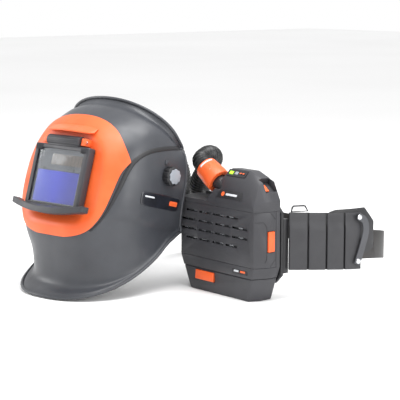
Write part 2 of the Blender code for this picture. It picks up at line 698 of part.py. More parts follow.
def strap_low(share):
    """Lower edge of the strap: it sinks towards the far side."""
    return 0.056 - BELT_DROOP * share ** 1.3


def leather_strap(side, label):
    """Half of the leather waist strap, from a pad round the far side to the buckle."""
    run = belt_run(side, PAD_STEPS, 8 * BELT_STEPS)
    offset = -(PAD_THICK / 2 + GAP + 0.0024 + GAP + STRAP_THICK / 2)
    last = len(run) - 1
    buckle_edge = BUCKLE_X + side * (BUCKLE_WIDTH / 2 + GAP)
    sections = []
    for i, (point, out) in enumerate(run):
        if side * (point.x - buckle_edge) < 0.004:
            break
        low = strap_low(i / last)
        sections.append(band_section(point, out, offset, STRAP_THICK, low, low + STRAP_HEIGHT))
    low = strap_low(1.0)
    end = Vector((buckle_edge, BELT_START_Y + BELT_DEPTH - 0.0006, 0))
    sections.append(band_section(end, Vector((0, 1, 0)), offset, STRAP_THICK, low, low + STRAP_HEIGHT))
    piece = loft("strap_" + label, sections, LEATHER)
    if side > 0:
        spot, out = run[3]
        bm = cylinder_bmesh(0.0040, 0.03, 12)
        bmesh.ops.scale(bm, vec=(1.0, 1.6, 1.0), verts=bm.verts)
        cut(piece, cutter(bm, place=Matrix.Translation(spot + Vector((0, 0, 0.0775))) @ axis_turn(out)))


def buckle():
    """Plain rectangular buckle that joins the two halves of the strap."""
    centre = (BUCKLE_X, BELT_START_Y + BELT_DEPTH - 0.0070, strap_low(1.0) + STRAP_HEIGHT / 2)
    frame = box("buckle_frame", (BUCKLE_WIDTH, 0.0040, 0.058), centre, STEEL, bevel=0.0012)
    cut_box(frame, (BUCKLE_WIDTH - 0.009, 0.02, 0.049), centre)


# ---------------------------------------------------------------- hose
def hose():
    """Orange swivelling cuff on the fan outlet, and the breathing hose."""
    lip = CUFF_RADIUS_HOSE - 0.0017
    cuff_profile = [(CUFF_RADIUS_HOSE, CUFF_LENGTH), (CUFF_RADIUS_BLOWER, 0.012), (CUFF_RADIUS_BLOWER, 0.0),
                    (SOCKET_RADIUS + 0.0005, 0.0), (SOCKET_RADIUS + 0.0005, CUFF_LENGTH - 0.010),
                    (lip, CUFF_LENGTH - 0.010), (lip, CUFF_LENGTH)]
    turned("hose_cuff", cuff_profile, OUTLET_START, OUTLET_DIRECTION, ORANGE, steps=28)
    tube("breathing_hose", smooth_points(HOSE_ROUTE, 2), HOSE_RADIUS, RUBBER, resolution=3)


# ---------------------------------------------------------------- helmet
def row_values(position):
    """Shell row values at a fractional row number, on a smooth curve through the rows."""
    last = len(SHELL_ROWS) - 1
    i = min(int(position), last - 1)
    t = position - i
    p0 = SHELL_ROWS[max(i - 1, 0)]
    p1 = SHELL_ROWS[i]
    p2 = SHELL_ROWS[i + 1]
    p3 = SHELL_ROWS[min(i + 2, last)]
    return [0.5 * (2 * b + (c - a) * t + (2 * a - 5 * b + 4 * c - d) * t * t
                   + (3 * b - a - 3 * c + d) * t ** 3)
            for a, b, c, d in zip(p0, p1, p2, p3)]


def pocket_y(z):
    """The flat pad behind the lens, as a plane that leans with it."""
    return LENS_Y + POCKET_DEPTH / math.cos(LENS_LEAN) + (z - LENS_Z) * math.tan(LENS_LEAN)


def shell_row(position):
    """Half of one row of the shell, from the centre of the face to the rear edge."""
    front_y, front_z, rear_y, rear_z, half, power, drop = row_values(position)
    middle_y = SIDE_START_Y
    if front_y > -0.090:
        middle_y += (front_y + 0.090) / 0.095 * 0.024
    share = (middle_y - front_y) / (rear_y - front_y)
    middle_z = front_z + (rear_z - front_z) * share
    points = []
    for k in range(ROUND_STEPS + 1):
        angle = math.pi / 2 * k / ROUND_STEPS
        c = math.cos(angle) ** (2 / power) if k < ROUND_STEPS else 0.0
        s = math.sin(angle) ** (2 / power) if k else 0.0
        x = half * s
        y = middle_y + (front_y - middle_y) * c
        z = middle_z + (front_z - middle_z) * c - 4 * drop * c * (1 - c)
        blend = min(max((z - 0.113) / 0.020, 0.0), 1.0)
        blend = blend * blend * (3 - 2 * blend)
        flat = pocket_y(z)
        if flat > y and z < 0.275:
            y += (flat - y) * blend
        points.append((x, y, z))
    for k in range(1, SIDE_STEPS + 1):
        u = k / SIDE_STEPS
        points.append((half * (1 - 0.012 * u * u), middle_y + (rear_y - middle_y) * u,
                       middle_z + (rear_z - middle_z) * u))
    return points


ROW_POSITIONS = (0, 0.5, 1, 1.5, 2, 2.5, 3, 3.5, 4, 4.25, 4.4, 4.55, 4.7, 5, 5.5, 6, 6.5, 7, 7.4, 7.8,
                 8.3, 8.8, 9.4, 10, 10.5, 11)


def shell_surface(lift=0.0):
    """Open grid over the whole helmet, its faces pointing out, lifted along its normals."""
    bm = bmesh.new()
    rows = []
    for position in ROW_POSITIONS:
        half = shell_row(position)
        full = [(-x, y, z) for x, y, z in reversed(half[1:])] + half
        rows.append([bm.verts.new(p) for p in full])
    for low, high in zip(rows, rows[1:]):
        for i in range(len(low) - 1):
            bm.faces.new((low[i], low[i + 1], high[i + 1], high[i]))
    bmesh.ops.triangulate(bm, faces=bm.faces[:], quad_method='FIXED')
    bm.normal_update()
    if lift:
        for v in bm.verts:
            v.co += v.normal * lift
    return bm


def skin(name, lift, thick, outward, finish_values, parent):
    """A moulded skin over the helmet's surface, thickened outward or inward."""
    bm = shell_surface(lift)
    mesh = bpy.data.meshes.new(name)
    bm.to_mesh(mesh)
    bm.free()
    piece = bpy.data.objects.new(name, mesh)
    scene.collection.objects.link(piece)
    finish(piece, finish_values, parent)
    wall = piece.modifiers.new("wall", 'SOLIDIFY')
    wall.thickness = thick
    wall.offset = 1.0 if outward else -1.0
    wall.use_even_offset = True
    return piece


def side_prism(outline, half=0.2):
    """A side-view outline drawn across the whole helmet, for cutting."""
    return loft_bmesh([[(-half, y, z) for y, z in outline], [(half, y, z) for y, z in outline]])


def helmet_shell(place):
    """Helmet shell and the orange front bezel over it, with the window and the flip hinge's lugs."""
    shell = skin("helmet_shell", 0.0, SHELL_THICK, False, SHELL_GREY, place)
    bezel = skin("front_bezel", GAP, BEZEL_THICK, True, ORANGE, place)
    cut(bezel, cutter(side_prism(BEZEL_EDGE), place), 'INTERSECT')
    lens_turn = Matrix.Rotation(-LENS_LEAN, 4, 'X')
    for piece, extra in ((shell, 0.0), (bezel, 0.006)):
        cut_box(piece, (APERTURE_WIDTH + extra, 0.120, APERTURE_HEIGHT + extra), (0, LENS_Y, LENS_Z), place,
                lens_turn)
    centre = Vector((0, LENS_Y, LENS_Z))
    for side in (1, -1):
        lug_front = HINGE_BACK - 0.004
        lug_back = POCKET_DEPTH - 0.001
        lug = centre + lens_turn @ Vector((side * 0.0435, (lug_front + lug_back) / 2, HINGE_V))
        join_box(bezel, (0.009, lug_back - lug_front, 0.010), lug, place, lens_turn)
    pin = centre + lens_turn @ Vector((0, HINGE_BACK, HINGE_V))
    cut_round(bezel, HINGE_PIN_RADIUS + GAP, 0.120, pin, (1, 0, 0), place, 12)
    for side in (1, -1):
        cut_round(shell, PIVOT_HOLE, 0.040, (side * 0.120, PIVOT_Y, PIVOT_Z), (1, 0, 0), place, 16)


def side_width(y, z):
    """Half width of the shell's outside at a side point behind the rounded front."""
    best = None
    for k in range(0, 221):
        position = k * 11 / 220
        for x, py, pz in shell_row(position)[6:]:
            distance = (py - y) ** 2 + (pz - z) ** 2
            if best is None or distance < best[0]:
                best = (distance, x)
    return best[1]


def helmet_sides(place):
    """Fluted tilt knobs on both sides, and the bolts they tighten."""
    h = KNOB_WIDTH / 2
    bore = PIVOT_BOLT_RADIUS + GAP
    knob_x = side_width(PIVOT_Y, PIVOT_Z) + 0.0012 + h
    profile = [(KNOB_RADIUS - 0.003, h), (KNOB_RADIUS, h - 0.002), (KNOB_RADIUS, -h), (bore, -h), (bore, h)]
    flutes = 10
    for side, label in ((1, "right"), (-1, "left")):
        out = (side, 0, 0)
        centre = Vector((side * knob_x, PIVOT_Y, PIVOT_Z))
        knob = turned("tilt_knob_" + label, profile, centre, out, BLACK, place, steps=32)
        for k in range(flutes):
            angle = 2 * math.pi * k / flutes
            spot = centre + Vector((0, math.cos(angle), math.sin(angle))) * (KNOB_RADIUS + 0.0008)
            cut_round(knob, 0.0021, 0.03, spot, (1, 0, 0), place, 8)
        bolt_in = ARM_X - 0.002
        bolt_out = knob_x + h
        disc("tilt_bolt_" + label, PIVOT_BOLT_RADIUS, bolt_out - bolt_in,
             (side * (bolt_in + bolt_out) / 2, PIVOT_Y, PIVOT_Z), out, STEEL, place, steps=16)


def grinding_visor(lens):
    """Clear grinding window fixed in the shell behind the flip-up filter, and its clamp frame."""
    back = POCKET_DEPTH + SHELL_THICK
    box("grinding_visor", (APERTURE_WIDTH + 0.010, 0.0015, APERTURE_HEIGHT + 0.010), (0, back + 0.0011, 0),
        CLEAR, lens)
    clamp = box("visor_clamp", (APERTURE_WIDTH + 0.016, 0.0035, APERTURE_HEIGHT + 0.016), (0, back + 0.0040, 0),
                BLACK, lens, bevel=0.0008)
    cut_box(clamp, (APERTURE_WIDTH - 0.002, 0.02, APERTURE_HEIGHT - 0.002), (0, back + 0.004, 0), lens)


def flip_front(lens):
    """Flip-up front: frame with its hinge barrel and lip, cover lens, filter cassette and inner lens."""
    half_w = FILTER_WIDTH / 2 + FRAME_BORDER
    half_h = FILTER_HEIGHT / 2 + FRAME_BORDER - 0.001
    front = -0.003
    back = POCKET_DEPTH - BEZEL_THICK - 2 * GAP - 0.0004
    hinge = (0, HINGE_BACK, HINGE_V)
    frame = box("flip_frame", (2 * half_w, back - front, 2 * half_h), (0, (front + back) / 2, 0), CHARCOAL,
                lens, bevel=0.0020)
    join_box(frame, (0.070, 0.010, HINGE_V - half_h + 0.006), (0, HINGE_BACK, (HINGE_V + half_h) / 2 - 0.002),
             lens)
    join_round(frame, HINGE_RADIUS, 0.074, hinge, (1, 0, 0), lens, 20)
    cut_round(frame, HINGE_PIN_RADIUS + GAP, 0.09, hinge, (1, 0, 0), lens, 12)
    cut_box(frame, (FILTER_WIDTH - 0.004, 0.02, FILTER_HEIGHT - 0.002), (0, front, 0), lens)
    inside = back + 0.0012
    cut_box(frame, (FILTER_WIDTH + 4 * GAP, inside, FILTER_HEIGHT + 4 * GAP), (0, inside / 2 - 0.0012, 0),
            lens)
    box("cover_lens", (FILTER_WIDTH, 0.0012, FILTER_HEIGHT), (0, -0.0003, 0), CLEAR, lens)
    y0 = 0.0009
    middle = y0 + FILTER_DEPTH / 2
    cassette = box("filter_cassette", (FILTER_WIDTH, FILTER_DEPTH, FILTER_HEIGHT), (0, middle, 0), BLACK,
                   lens, bevel=0.0006)
    glass_w = FILTER_WIDTH - 2 * GLASS_BORDER
    glass_h = GLASS_HEIGHT
    glass_z = GLASS_FOOT + (glass_h - FILTER_HEIGHT) / 2
    cut_box(cassette, (glass_w + 2 * GAP, 0.03, glass_h + 2 * GAP), (0, middle, glass_z), lens)
    box("filter_glass", (glass_w, 0.0060, glass_h), (0, middle - 0.0008, glass_z), DARK_GLASS, lens)
    box("inner_lens", (FILTER_WIDTH - 0.002, 0.0010, FILTER_HEIGHT - 0.002),
        (0, y0 + FILTER_DEPTH + GAP + 0.0005, 0), CLEAR, lens)
    lip_bar(lens, half_w, half_h)
    disc("flip_pin", HINGE_PIN_RADIUS, 0.100, hinge, (1, 0, 0), STEEL, lens, steps=12, edge=0.0004)


def lip_bar(lens, half_w, half_h):
    """Curved lift bar across the bottom of the flip frame."""
    rows = []
    steps = 16
    reach = 0.081
    tall = 0.0048
    frame_front = -0.003 - GAP
    for k in range(steps + 1):
        s = -1 + 2 * k / steps
        x = reach * s
        middle = -half_h - 0.0055 + 0.0105 * s * s
        front = frame_front - 0.0080 - 0.0085 * (1 - s * s)
        beside = abs(x) > half_w + 0.001
        back = 0.0040 if beside else frame_front
        high = middle + tall if beside else -half_h + 0.0045
        rows.append([(x, front, middle - tall), (x, back, middle - tall), (x, back, high),
                     (x, front, middle + tall)])
    loft("flip_lip", rows, CHARCOAL, lens)


HEAD_CENTRE_Y = PIVOT_Y + HEAD_BACK
CROWN_Z = 0.2175                  # springing of the side-to-side crown strap
CROWN_RISE = 0.042
DUCT_HALF_WIDTH = 0.026
DUCT_HALF_DEPTH = 0.004


def band_z(angle):
    """Middle height of the headband: low at the nape, high on the brow."""
    return 0.200 - 0.010 * math.sin(angle)


def band_sections(half_x, half_y, thick, height, start, end, steps):
    """Sections of a band round the head, between two angles from the wearer's right."""
    rows = []
    for k in range(steps + 1):
        angle = start + (end - start) * k / steps
        c, s = math.cos(angle), math.sin(angle)
        low = band_z(angle) - height / 2
        inner = (half_x * c, HEAD_CENTRE_Y + half_y * s)
        outer = ((half_x + thick) * c, HEAD_CENTRE_Y + (half_y + thick) * s)
        rows.append([(*inner, low), (*outer, low), (*outer, low + height), (*inner, low + height)])
    return rows


def over_head(half, rise, base_z, half_width, thick, lengthwise, start, end, steps=20):
    """Sections of a strap over the head, side to side or front to back."""
    rows = []
    for k in range(steps + 1):
        angle = start + (end - start) * k / steps
        c, s = math.cos(angle), math.sin(angle)
        inner = (half * c, base_z + rise * s)
        outer = ((half + thick) * c, base_z + (rise + thick) * s)
        row = []
        for (a, z), w in ((inner, -half_width), (outer, -half_width), (outer, half_width), (inner, half_width)):
            row.append((w, HEAD_CENTRE_Y + a, z) if lengthwise else (a, HEAD_CENTRE_Y + w, z))
        rows.append(row)
    return rows


def headgear(place):
    """Headband and sweatband, crown straps, the nape ratchet and its knob, and the side arms."""
    full_turn = band_sections(HEAD_X, HEAD_Y, BAND_THICK, BAND_HEIGHT, 0, 2 * math.pi, 40)
    loft("headband", full_turn[:-1], BLACK, place, closed=True)
    pad = 0.006
    loft("sweatband", band_sections(HEAD_X - pad - 0.0005, HEAD_Y - pad - 0.0005, pad, BAND_HEIGHT + 0.004,
                                    math.radians(-150), math.radians(-30), 14), FOAM, place)
    loft("crown_strap_side", over_head(HEAD_X, CROWN_RISE, CROWN_Z, 0.010, 0.002, False, math.radians(3.5),
                                       math.radians(176.5)), BLACK, place)
    loft("crown_strap_front", over_head(HEAD_Y - 0.002, CROWN_RISE + 0.0025, CROWN_Z + 0.0019, 0.009, 0.002,
                                        True, math.radians(54), math.radians(172.5)), BLACK, place)
    nape_y = HEAD_CENTRE_Y + HEAD_Y + BAND_THICK
    ratchet_z = band_z(math.pi / 2) - 0.022
    box("ratchet_housing", (0.062, 0.010, 0.028), (0, nape_y + GAP + 0.005, ratchet_z), BLACK, place,
        bevel=0.003, segments=2)
    knob_y = nape_y + GAP + 0.010 + GAP + 0.006
    knob_radius = 0.015
    knob = disc("ratchet_knob", knob_radius, 0.012, (0, knob_y, ratchet_z), (0, 1, 0), BLACK, place, steps=28,
                edge=0.0015)
    flutes = 8
    for k in range(flutes):
        angle = 2 * math.pi * k / flutes
        spot = Vector((math.cos(angle), 0, math.sin(angle))) * (knob_radius + 0.0002)
        cut_round(knob, 0.0022, 0.03, spot + Vector((0, knob_y, ratchet_z)), (0, 1, 0), place, 8)
    for side, label in ((1, "right"), (-1, "left")):
        hub = (side * ARM_X, PIVOT_Y, PIVOT_Z)
        arm = box("side_arm_" + label, (0.0040, 0.030, 0.030), hub, BLACK, place, bevel=0.0010)
        bar = ARM_X - 0.0005 - (HEAD_X + BAND_THICK + 0.0004)
        join_box(arm, (bar, 0.022, 0.010), (side * (ARM_X - 0.0005 - bar / 2), PIVOT_Y, 0.2005), place)
        cut_round(arm, PIVOT_BOLT_RADIUS + GAP, 0.02, hub, (1, 0, 0), place, 16)


def air_duct(place):
    """Flat air duct over the head, and the cup at its rear end that takes the hose."""
    half_y = HEAD_Y + 0.0015 + DUCT_HALF_DEPTH
    rise = CROWN_RISE + 0.0065 + DUCT_HALF_DEPTH
    angles = (158, 140, 120, 100, 80, 60, 47)
    route = [(0, HEAD_CENTRE_Y + half_y * math.cos(math.radians(d)), 0.2185 + rise * math.sin(math.radians(d)))
             for d in angles]
    route += [(0, HEAD_CENTRE_Y + 0.0770, 0.2490), (0, HEAD_CENTRE_Y + 0.0950, 0.2370),
              (0, HEAD_CENTRE_Y + 0.1120, 0.2210)]
    spine = smooth_points(route, 2)
    rows = []
    for i, spot in enumerate(spine):
        ahead = (spine[min(i + 1, len(spine) - 1)] - spine[max(i - 1, 0)]).normalized()
        rise_way = Vector((0, -ahead.z, ahead.y)) * DUCT_HALF_DEPTH
        across = Vector((DUCT_HALF_WIDTH, 0, 0))
        rows.append([spot - across - rise_way, spot + across - rise_way, spot + across + rise_way,
                     spot - across + rise_way])
    loft("air_duct", rows, BLACK, place)
    inlet_profile = [(0.0150, 0.0), (0.0190, -0.006), (0.0190, -0.026), (0.0172, -0.026), (0.0172, -0.012),
                     (0.0110, -0.012), (0.0110, 0.0)]
    turned("duct_inlet", inlet_profile, (0, HEAD_CENTRE_Y + 0.116, 0.2175), (0, -0.62, 0.785), CHARCOAL, place)


def face_seal(place):
    """Padded roll of the fabric face seal, along the inside of the lower shell."""
    reach = 0.100
    rear_y = 0.016
    points = []
    for k in range(-10, 11):
        angle = k / 10 * math.pi / 2
        forward = math.cos(angle)
        points.append(Vector((reach * math.sin(angle), rear_y - reach * forward, 0.128 - 0.048 * forward)))
    tube("face_seal", points, 0.0070, FABRIC, place, resolution=2)


# ---------------------------------------------------------------- assembly
clear_scene()
parts = new_collection("powered_air_respirator")
cutters = new_collection("cutters")

battery()
main_housing()
filter_cover()
filter_stack()
top_housing()
control_panel()
fan()
electronics()
back_plate()
for belt_side, belt_label in ((1, "right"), (-1, "left")):
    hip_pad(belt_side, belt_label)
    stay(belt_side, belt_label)
    leather_strap(belt_side, belt_label)
buckle()
hose()

helmet_place = empty("helmet_place", Matrix.Translation((HELMET_X, HELMET_Y, 0))
                     @ Matrix.Rotation(HELMET_YAW, 4, 'Z'))
lens_place = empty("lens_place", Matrix.Translation((0, LENS_Y, LENS_Z)) @ Matrix.Rotation(-LENS_LEAN, 4, 'X'),
                   helmet_place)
helmet_shell(helmet_place)
helmet_sides(helmet_place)
grinding_visor(lens_place)
flip_front(lens_place)
headgear(helmet_place)
air_duct(helmet_place)
face_seal(helmet_place)
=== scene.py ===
"""Powered air respirator: the finished surfaces of a tilting welding helmet with a flip-up filter,
its headgear, the breathing hose, and the belt-worn blower.  Metres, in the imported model's own frame."""
import math

import bmesh
import bpy
from mathutils import Matrix, Vector
from mathutils.bvhtree import BVHTree


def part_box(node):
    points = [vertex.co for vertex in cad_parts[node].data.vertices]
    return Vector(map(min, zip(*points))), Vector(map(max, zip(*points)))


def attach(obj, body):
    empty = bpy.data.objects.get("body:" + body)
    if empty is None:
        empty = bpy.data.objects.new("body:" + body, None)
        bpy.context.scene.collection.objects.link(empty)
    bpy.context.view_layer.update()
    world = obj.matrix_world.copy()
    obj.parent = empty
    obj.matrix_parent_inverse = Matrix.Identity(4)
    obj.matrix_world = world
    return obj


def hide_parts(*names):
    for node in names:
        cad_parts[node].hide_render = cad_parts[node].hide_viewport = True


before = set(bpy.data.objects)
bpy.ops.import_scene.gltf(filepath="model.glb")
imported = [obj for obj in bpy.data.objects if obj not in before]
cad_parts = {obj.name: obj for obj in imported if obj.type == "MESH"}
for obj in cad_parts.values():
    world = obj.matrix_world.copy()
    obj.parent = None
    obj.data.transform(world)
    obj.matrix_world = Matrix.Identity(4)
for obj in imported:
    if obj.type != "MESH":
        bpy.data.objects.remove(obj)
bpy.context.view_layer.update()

scene = bpy.context.scene

# ---------------------------------------------------------------- camera, floor and light
# A long lens a little above the blower's top, a pale floor that runs out of sight, and soft light
# from large panels overhead and at the left, as for a product catalogue.
camera_data = bpy.data.cameras.new("camera")
camera_data.sensor_width = 36.0
camera_data.lens = 126.0
camera = bpy.data.objects.new("camera", camera_data)
camera.location = (1.6607, -1.4590, 0.4966)
camera.rotation_euler = (math.radians(81.1), 0.0, math.radians(50.0))
scene.collection.objects.link(camera)
scene.camera = camera
scene.view_settings.view_transform = 'Standard'


def tint(code, alpha=1.0):
    """An sRGB hex colour as linear numbers."""
    parts = [int(code[i:i + 2], 16) / 255 for i in (0, 2, 4)]
    return (*[p / 12.92 if p <= 0.04045 else ((p + 0.055) / 1.055) ** 2.4 for p in parts], alpha)


def new_material(name, base, roughness, metallic=0.0, **more):
    """A material whose shader holds its even values; returns it with its node tree and shader."""
    made = bpy.data.materials.new(name)
    made.use_nodes = True
    shader = made.node_tree.nodes["Principled BSDF"]
    shader.inputs["Base Color"].default_value = tint(base)
    shader.inputs["Roughness"].default_value = roughness
    shader.inputs["Metallic"].default_value = metallic
    for socket, value in more.items():
        shader.inputs[socket.replace("_", " ")].default_value = value
    return made, made.node_tree, shader


def add(tree, kind, settings=None, **links):
    """A node with its settings; links name its input sockets and what feeds them."""
    node = tree.nodes.new(kind)
    for name, value in (settings or {}).items():
        if name in node.inputs:
            node.inputs[name].default_value = value
        else:
            setattr(node, name, value)
    for socket, source in links.items():
        tree.links.new(source, node.inputs[socket.replace("_", " ")])
    return node


def shades(tree, source, *stops):
    """A colour ramp from (place, hex) stops, fed by a number."""
    ramp = add(tree, "ShaderNodeValToRGB", Fac=source)
    while len(ramp.color_ramp.elements) < len(stops):
        ramp.color_ramp.elements.new(0.5)
    for element, (place, code) in zip(ramp.color_ramp.elements, stops):
        element.position = place
        element.color = tint(code)
    return ramp.outputs["Color"]


def piece_from(name, bm, finish, body, *stands_for, sharp=35.0):
    """Makes a bmesh a piece of the model, gives it its finish and lets it ride on its body."""
    mesh = bpy.data.meshes.new(name)
    bm.to_mesh(mesh)
    bm.free()
    piece = bpy.data.objects.new(name, mesh)
    scene.collection.objects.link(piece)
    mesh.materials.append(finish)
    mesh.shade_smooth()
    mesh.set_sharp_from_angle(angle=math.radians(sharp))
    if body:
        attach(piece, body)
    if stands_for:
        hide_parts(*stands_for)
    return piece


bm = bmesh.new()
bmesh.ops.create_grid(bm, x_segments=1, y_segments=1, size=9.0)
paper, tree, shader = new_material("matt_white_backdrop", "F6F6F6", 0.95)
place = add(tree, "ShaderNodeTexCoord").outputs["Object"]
cloudy = add(tree, "ShaderNodeTexNoise", {"Scale": 0.6, "Detail": 2.0}, Vector=place).outputs["Fac"]
tree.links.new(shades(tree, cloudy, (0.3, "F3F3F3"), (0.7, "F8F8F8")), shader.inputs["Base Color"])
floor = piece_from("floor", bm, paper, None)

world = bpy.data.worlds.new("studio")
scene.world = world
world.use_nodes = True
world.node_tree.nodes["Background"].inputs["Color"].default_value = tint("FFFFFF")
world.node_tree.nodes["Background"].inputs["Strength"].default_value = 1.0


def panel_light(name, size, power, place, target):
    lamp = bpy.data.lights.new(name, 'AREA')
    lamp.shape = 'RECTANGLE'
    lamp.size, lamp.size_y = size
    lamp.energy = power
    holder = bpy.data.objects.new(name, lamp)
    holder.location = place
    holder.rotation_euler = (Vector(target) - Vector(place)).to_track_quat('-Z', 'Y').to_euler()
    scene.collection.objects.link(holder)


panel_light("overhead_panel", (1.6, 1.0), 34.0, (0.3, -0.1, 1.7), (-0.05, 0.0, 0.1))
panel_light("front_panel", (0.8, 1.0), 11.0, (-1.75, -1.30, 0.75), (-0.15, -0.15, 0.15))
panel_light("right_panel", (0.6, 1.4), 15.0, (1.9, 0.3, 0.8), (0.0, 0.0, 0.12))

# ---------------------------------------------------------------- breathing hose
# A corrugated hose of black elastomer from the orange cuff to the cup of the headgear's air duct,
# 33 mm across with a ridge every 5 mm.  It is one curve whose radius rises and falls.
HOSE_ROUTE = ((-0.0526, -0.0080, 0.1986), (-0.0695, -0.0025, 0.2080), (-0.0785, 0.0205, 0.2140),
              (-0.100, 0.046, 0.201), (-0.142, 0.052, 0.158), (-0.152, 0.073, 0.118),
              (-0.157, 0.098, 0.070), (-0.162, 0.130, 0.032), (-0.170, 0.168, 0.0175),
              (-0.192, 0.202, 0.0172), (-0.228, 0.214, 0.0172), (-0.264, 0.196, 0.0230),
              (-0.283, 0.162, 0.040), (-0.280, 0.128, 0.064), (-0.258, 0.102, 0.088),
              (-0.232, 0.085, 0.116), (-0.2145, 0.0745, 0.144), (-0.2097, 0.0665, 0.169),
              (-0.2083, 0.0590, 0.184), (-0.2071, 0.0506, 0.1955))
HOSE_RADIUS = 0.0165
RIDGE_PITCH = 0.0050
RIDGE_DEPTH = 0.0030


def smooth_route(route, per_span):
    """Points on a smooth curve through a route, per_span to each span."""
    points = [Vector(p) for p in route]
    result = []
    for i in range(len(points) - 1):
        p0, p1, p2, p3 = points[max(i - 1, 0)], points[i], points[i + 1], points[min(i + 2, len(points) - 1)]
        for k in range(per_span):
            t = k / per_span
            result.append(0.5 * (2 * p1 + (p2 - p0) * t + (2 * p0 - 5 * p1 + 4 * p2 - p3) * t * t
                                 + (3 * p1 - p0 - 3 * p2 + p3) * t * t * t))
    result.append(points[-1])
    return result


def even_points(points, count):
    """The same path with evenly spaced points, and its length."""
    lengths = [0.0]
    for first, second in zip(points, points[1:]):
        lengths.append(lengths[-1] + (second - first).length)
    result = []
    i = 0
    for k in range(count + 1):
        goal = lengths[-1] * k / count
        while i < len(points) - 2 and lengths[i + 1] < goal:
            i += 1
        share = (goal - lengths[i]) / (lengths[i + 1] - lengths[i])
        result.append(points[i].lerp(points[i + 1], share))
    return result, lengths[-1]


def rod(name, points, radius, finish, body, radii=None, closed=False, sides=4):
    """A round bar, wire or hose along a path, as one poly curve."""
    curve = bpy.data.curves.new(name, 'CURVE')
    curve.dimensions = '3D'
    curve.bevel_depth = radius
    curve.bevel_resolution = sides
    curve.use_fill_caps = not closed
    spline = curve.splines.new('POLY')
    spline.points.add(len(points) - 1)
    for i, point in enumerate(points):
        spline.points[i].co = (*point, 1.0)
        spline.points[i].radius = radii[i] if radii else 1.0
    spline.use_cyclic_u = closed
    spline.use_smooth = True
    curve.materials.append(finish)
    made = bpy.data.objects.new(name, curve)
    scene.collection.objects.link(made)
    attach(made, body)
    return made


# EPDM elastomer, extruded and formed: near black, with a soft grey bloom on its high spots.
hose_rubber, tree, shader = new_material("extruded_epdm_elastomer", "0E0F10", 0.36)
place = add(tree, "ShaderNodeTexCoord").outputs["Object"]
bloom = add(tree, "ShaderNodeTexNoise", {"Scale": 90.0, "Detail": 5.0, "Roughness": 0.6}, Vector=place)
tree.links.new(shades(tree, bloom.outputs["Fac"], (0.3, "0B0C0D"), (0.75, "1D1E20")),
               shader.inputs["Base Color"])
fine = add(tree, "ShaderNodeTexNoise", {"Scale": 1800.0, "Detail": 2.0}, Vector=place)
grain = add(tree, "ShaderNodeBump", {"Strength": 0.15, "Distance": 0.0002}, Height=fine.outputs["Fac"])
tree.links.new(grain.outputs["Normal"], shader.inputs["Normal"])

fine_route = smooth_route(HOSE_ROUTE, 24)
hose_length = even_points(fine_route, 10)[1]
ridges = round(hose_length / RIDGE_PITCH)
hose_points, hose_length = even_points(fine_route, ridges * 4)
valley = 1 - RIDGE_DEPTH / HOSE_RADIUS
wave = [1.0, 1.0, valley, valley]
hose_radii = [wave[i % 4] for i in range(len(hose_points))]
hose = rod("corrugated_hose", hose_points, HOSE_RADIUS, hose_rubber, "blower", radii=hose_radii, sides=6)
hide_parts("breathing_hose")

# ---------------------------------------------------------------- helmet shell
# The shell is one injection moulding of glass-filled polyamide, 3 mm thick, deep at the chin and
# flared along its crown edge.  A grid is laid over its rows and given its wall, then the window
# and the two tilt holes are cut; a rolled lip runs round its whole open edge.
HELMET = Matrix.Translation((-0.184, -0.114, 0.0)) @ Matrix.Rotation(math.radians(8.0), 4, 'Z')
LENS_LEAN = math.radians(17.0)
LENS = HELMET @ Matrix.Translation((0.0, -0.106, 0.190)) @ Matrix.Rotation(-LENS_LEAN, 4, 'X')
# front y, front z, rear y, rear z, half width, roundness exponent, drop
SHELL_ROWS = (
    (-0.144, 0.0030, 0.058, 0.092, 0.118, 2.45, 0.012),
    (-0.137, 0.0085, 0.058, 0.097, 0.117, 2.40, 0.012),
    (-0.118, 0.022, 0.058, 0.104, 0.115, 2.40, 0.011),
    (-0.115, 0.060, 0.058, 0.120, 0.117, 2.55, 0.008),
    (-0.122, 0.100, 0.058, 0.142, 0.121, 2.85, 0.004),
    (-0.121, 0.145, 0.062, 0.166, 0.123, 2.95, 0.000),
    (-0.106, 0.200, 0.066, 0.194, 0.122, 2.80, 0.000),
    (-0.087, 0.240, 0.066, 0.211, 0.120, 2.55, 0.000),
    (-0.059, 0.272, 0.066, 0.219, 0.117, 2.35, 0.000),
    (-0.025, 0.293, 0.063, 0.223, 0.114, 2.20, 0.000),
    (-0.004, 0.300, 0.060, 0.226, 0.111, 2.10, 0.000),
    (0.005, 0.308, 0.066, 0.229, 0.114, 2.05, 0.000))
LAST_ROW = len(SHELL_ROWS) - 1
CREASE = ((-0.105, 0.122), (-0.090, 0.128), (-0.074, 0.131), (-0.040, 0.123), (0.047, 0.097), (0.080, 0.088))
CREASE_DEPTH = 0.0026
SHELL_WALL = 0.003


def ease(value):
    """0 to 1, with a soft start and end."""
    value = min(max(value, 0.0), 1.0)
    return value * value * (3 - 2 * value)


def crease_height(y):
    for (y0, z0), (y1, z1) in zip(CREASE, CREASE[1:]):
        if y <= y1:
            return z0 + (z1 - z0) * max(y - y0, 0.0) / (y1 - y0)
    return CREASE[-1][1]


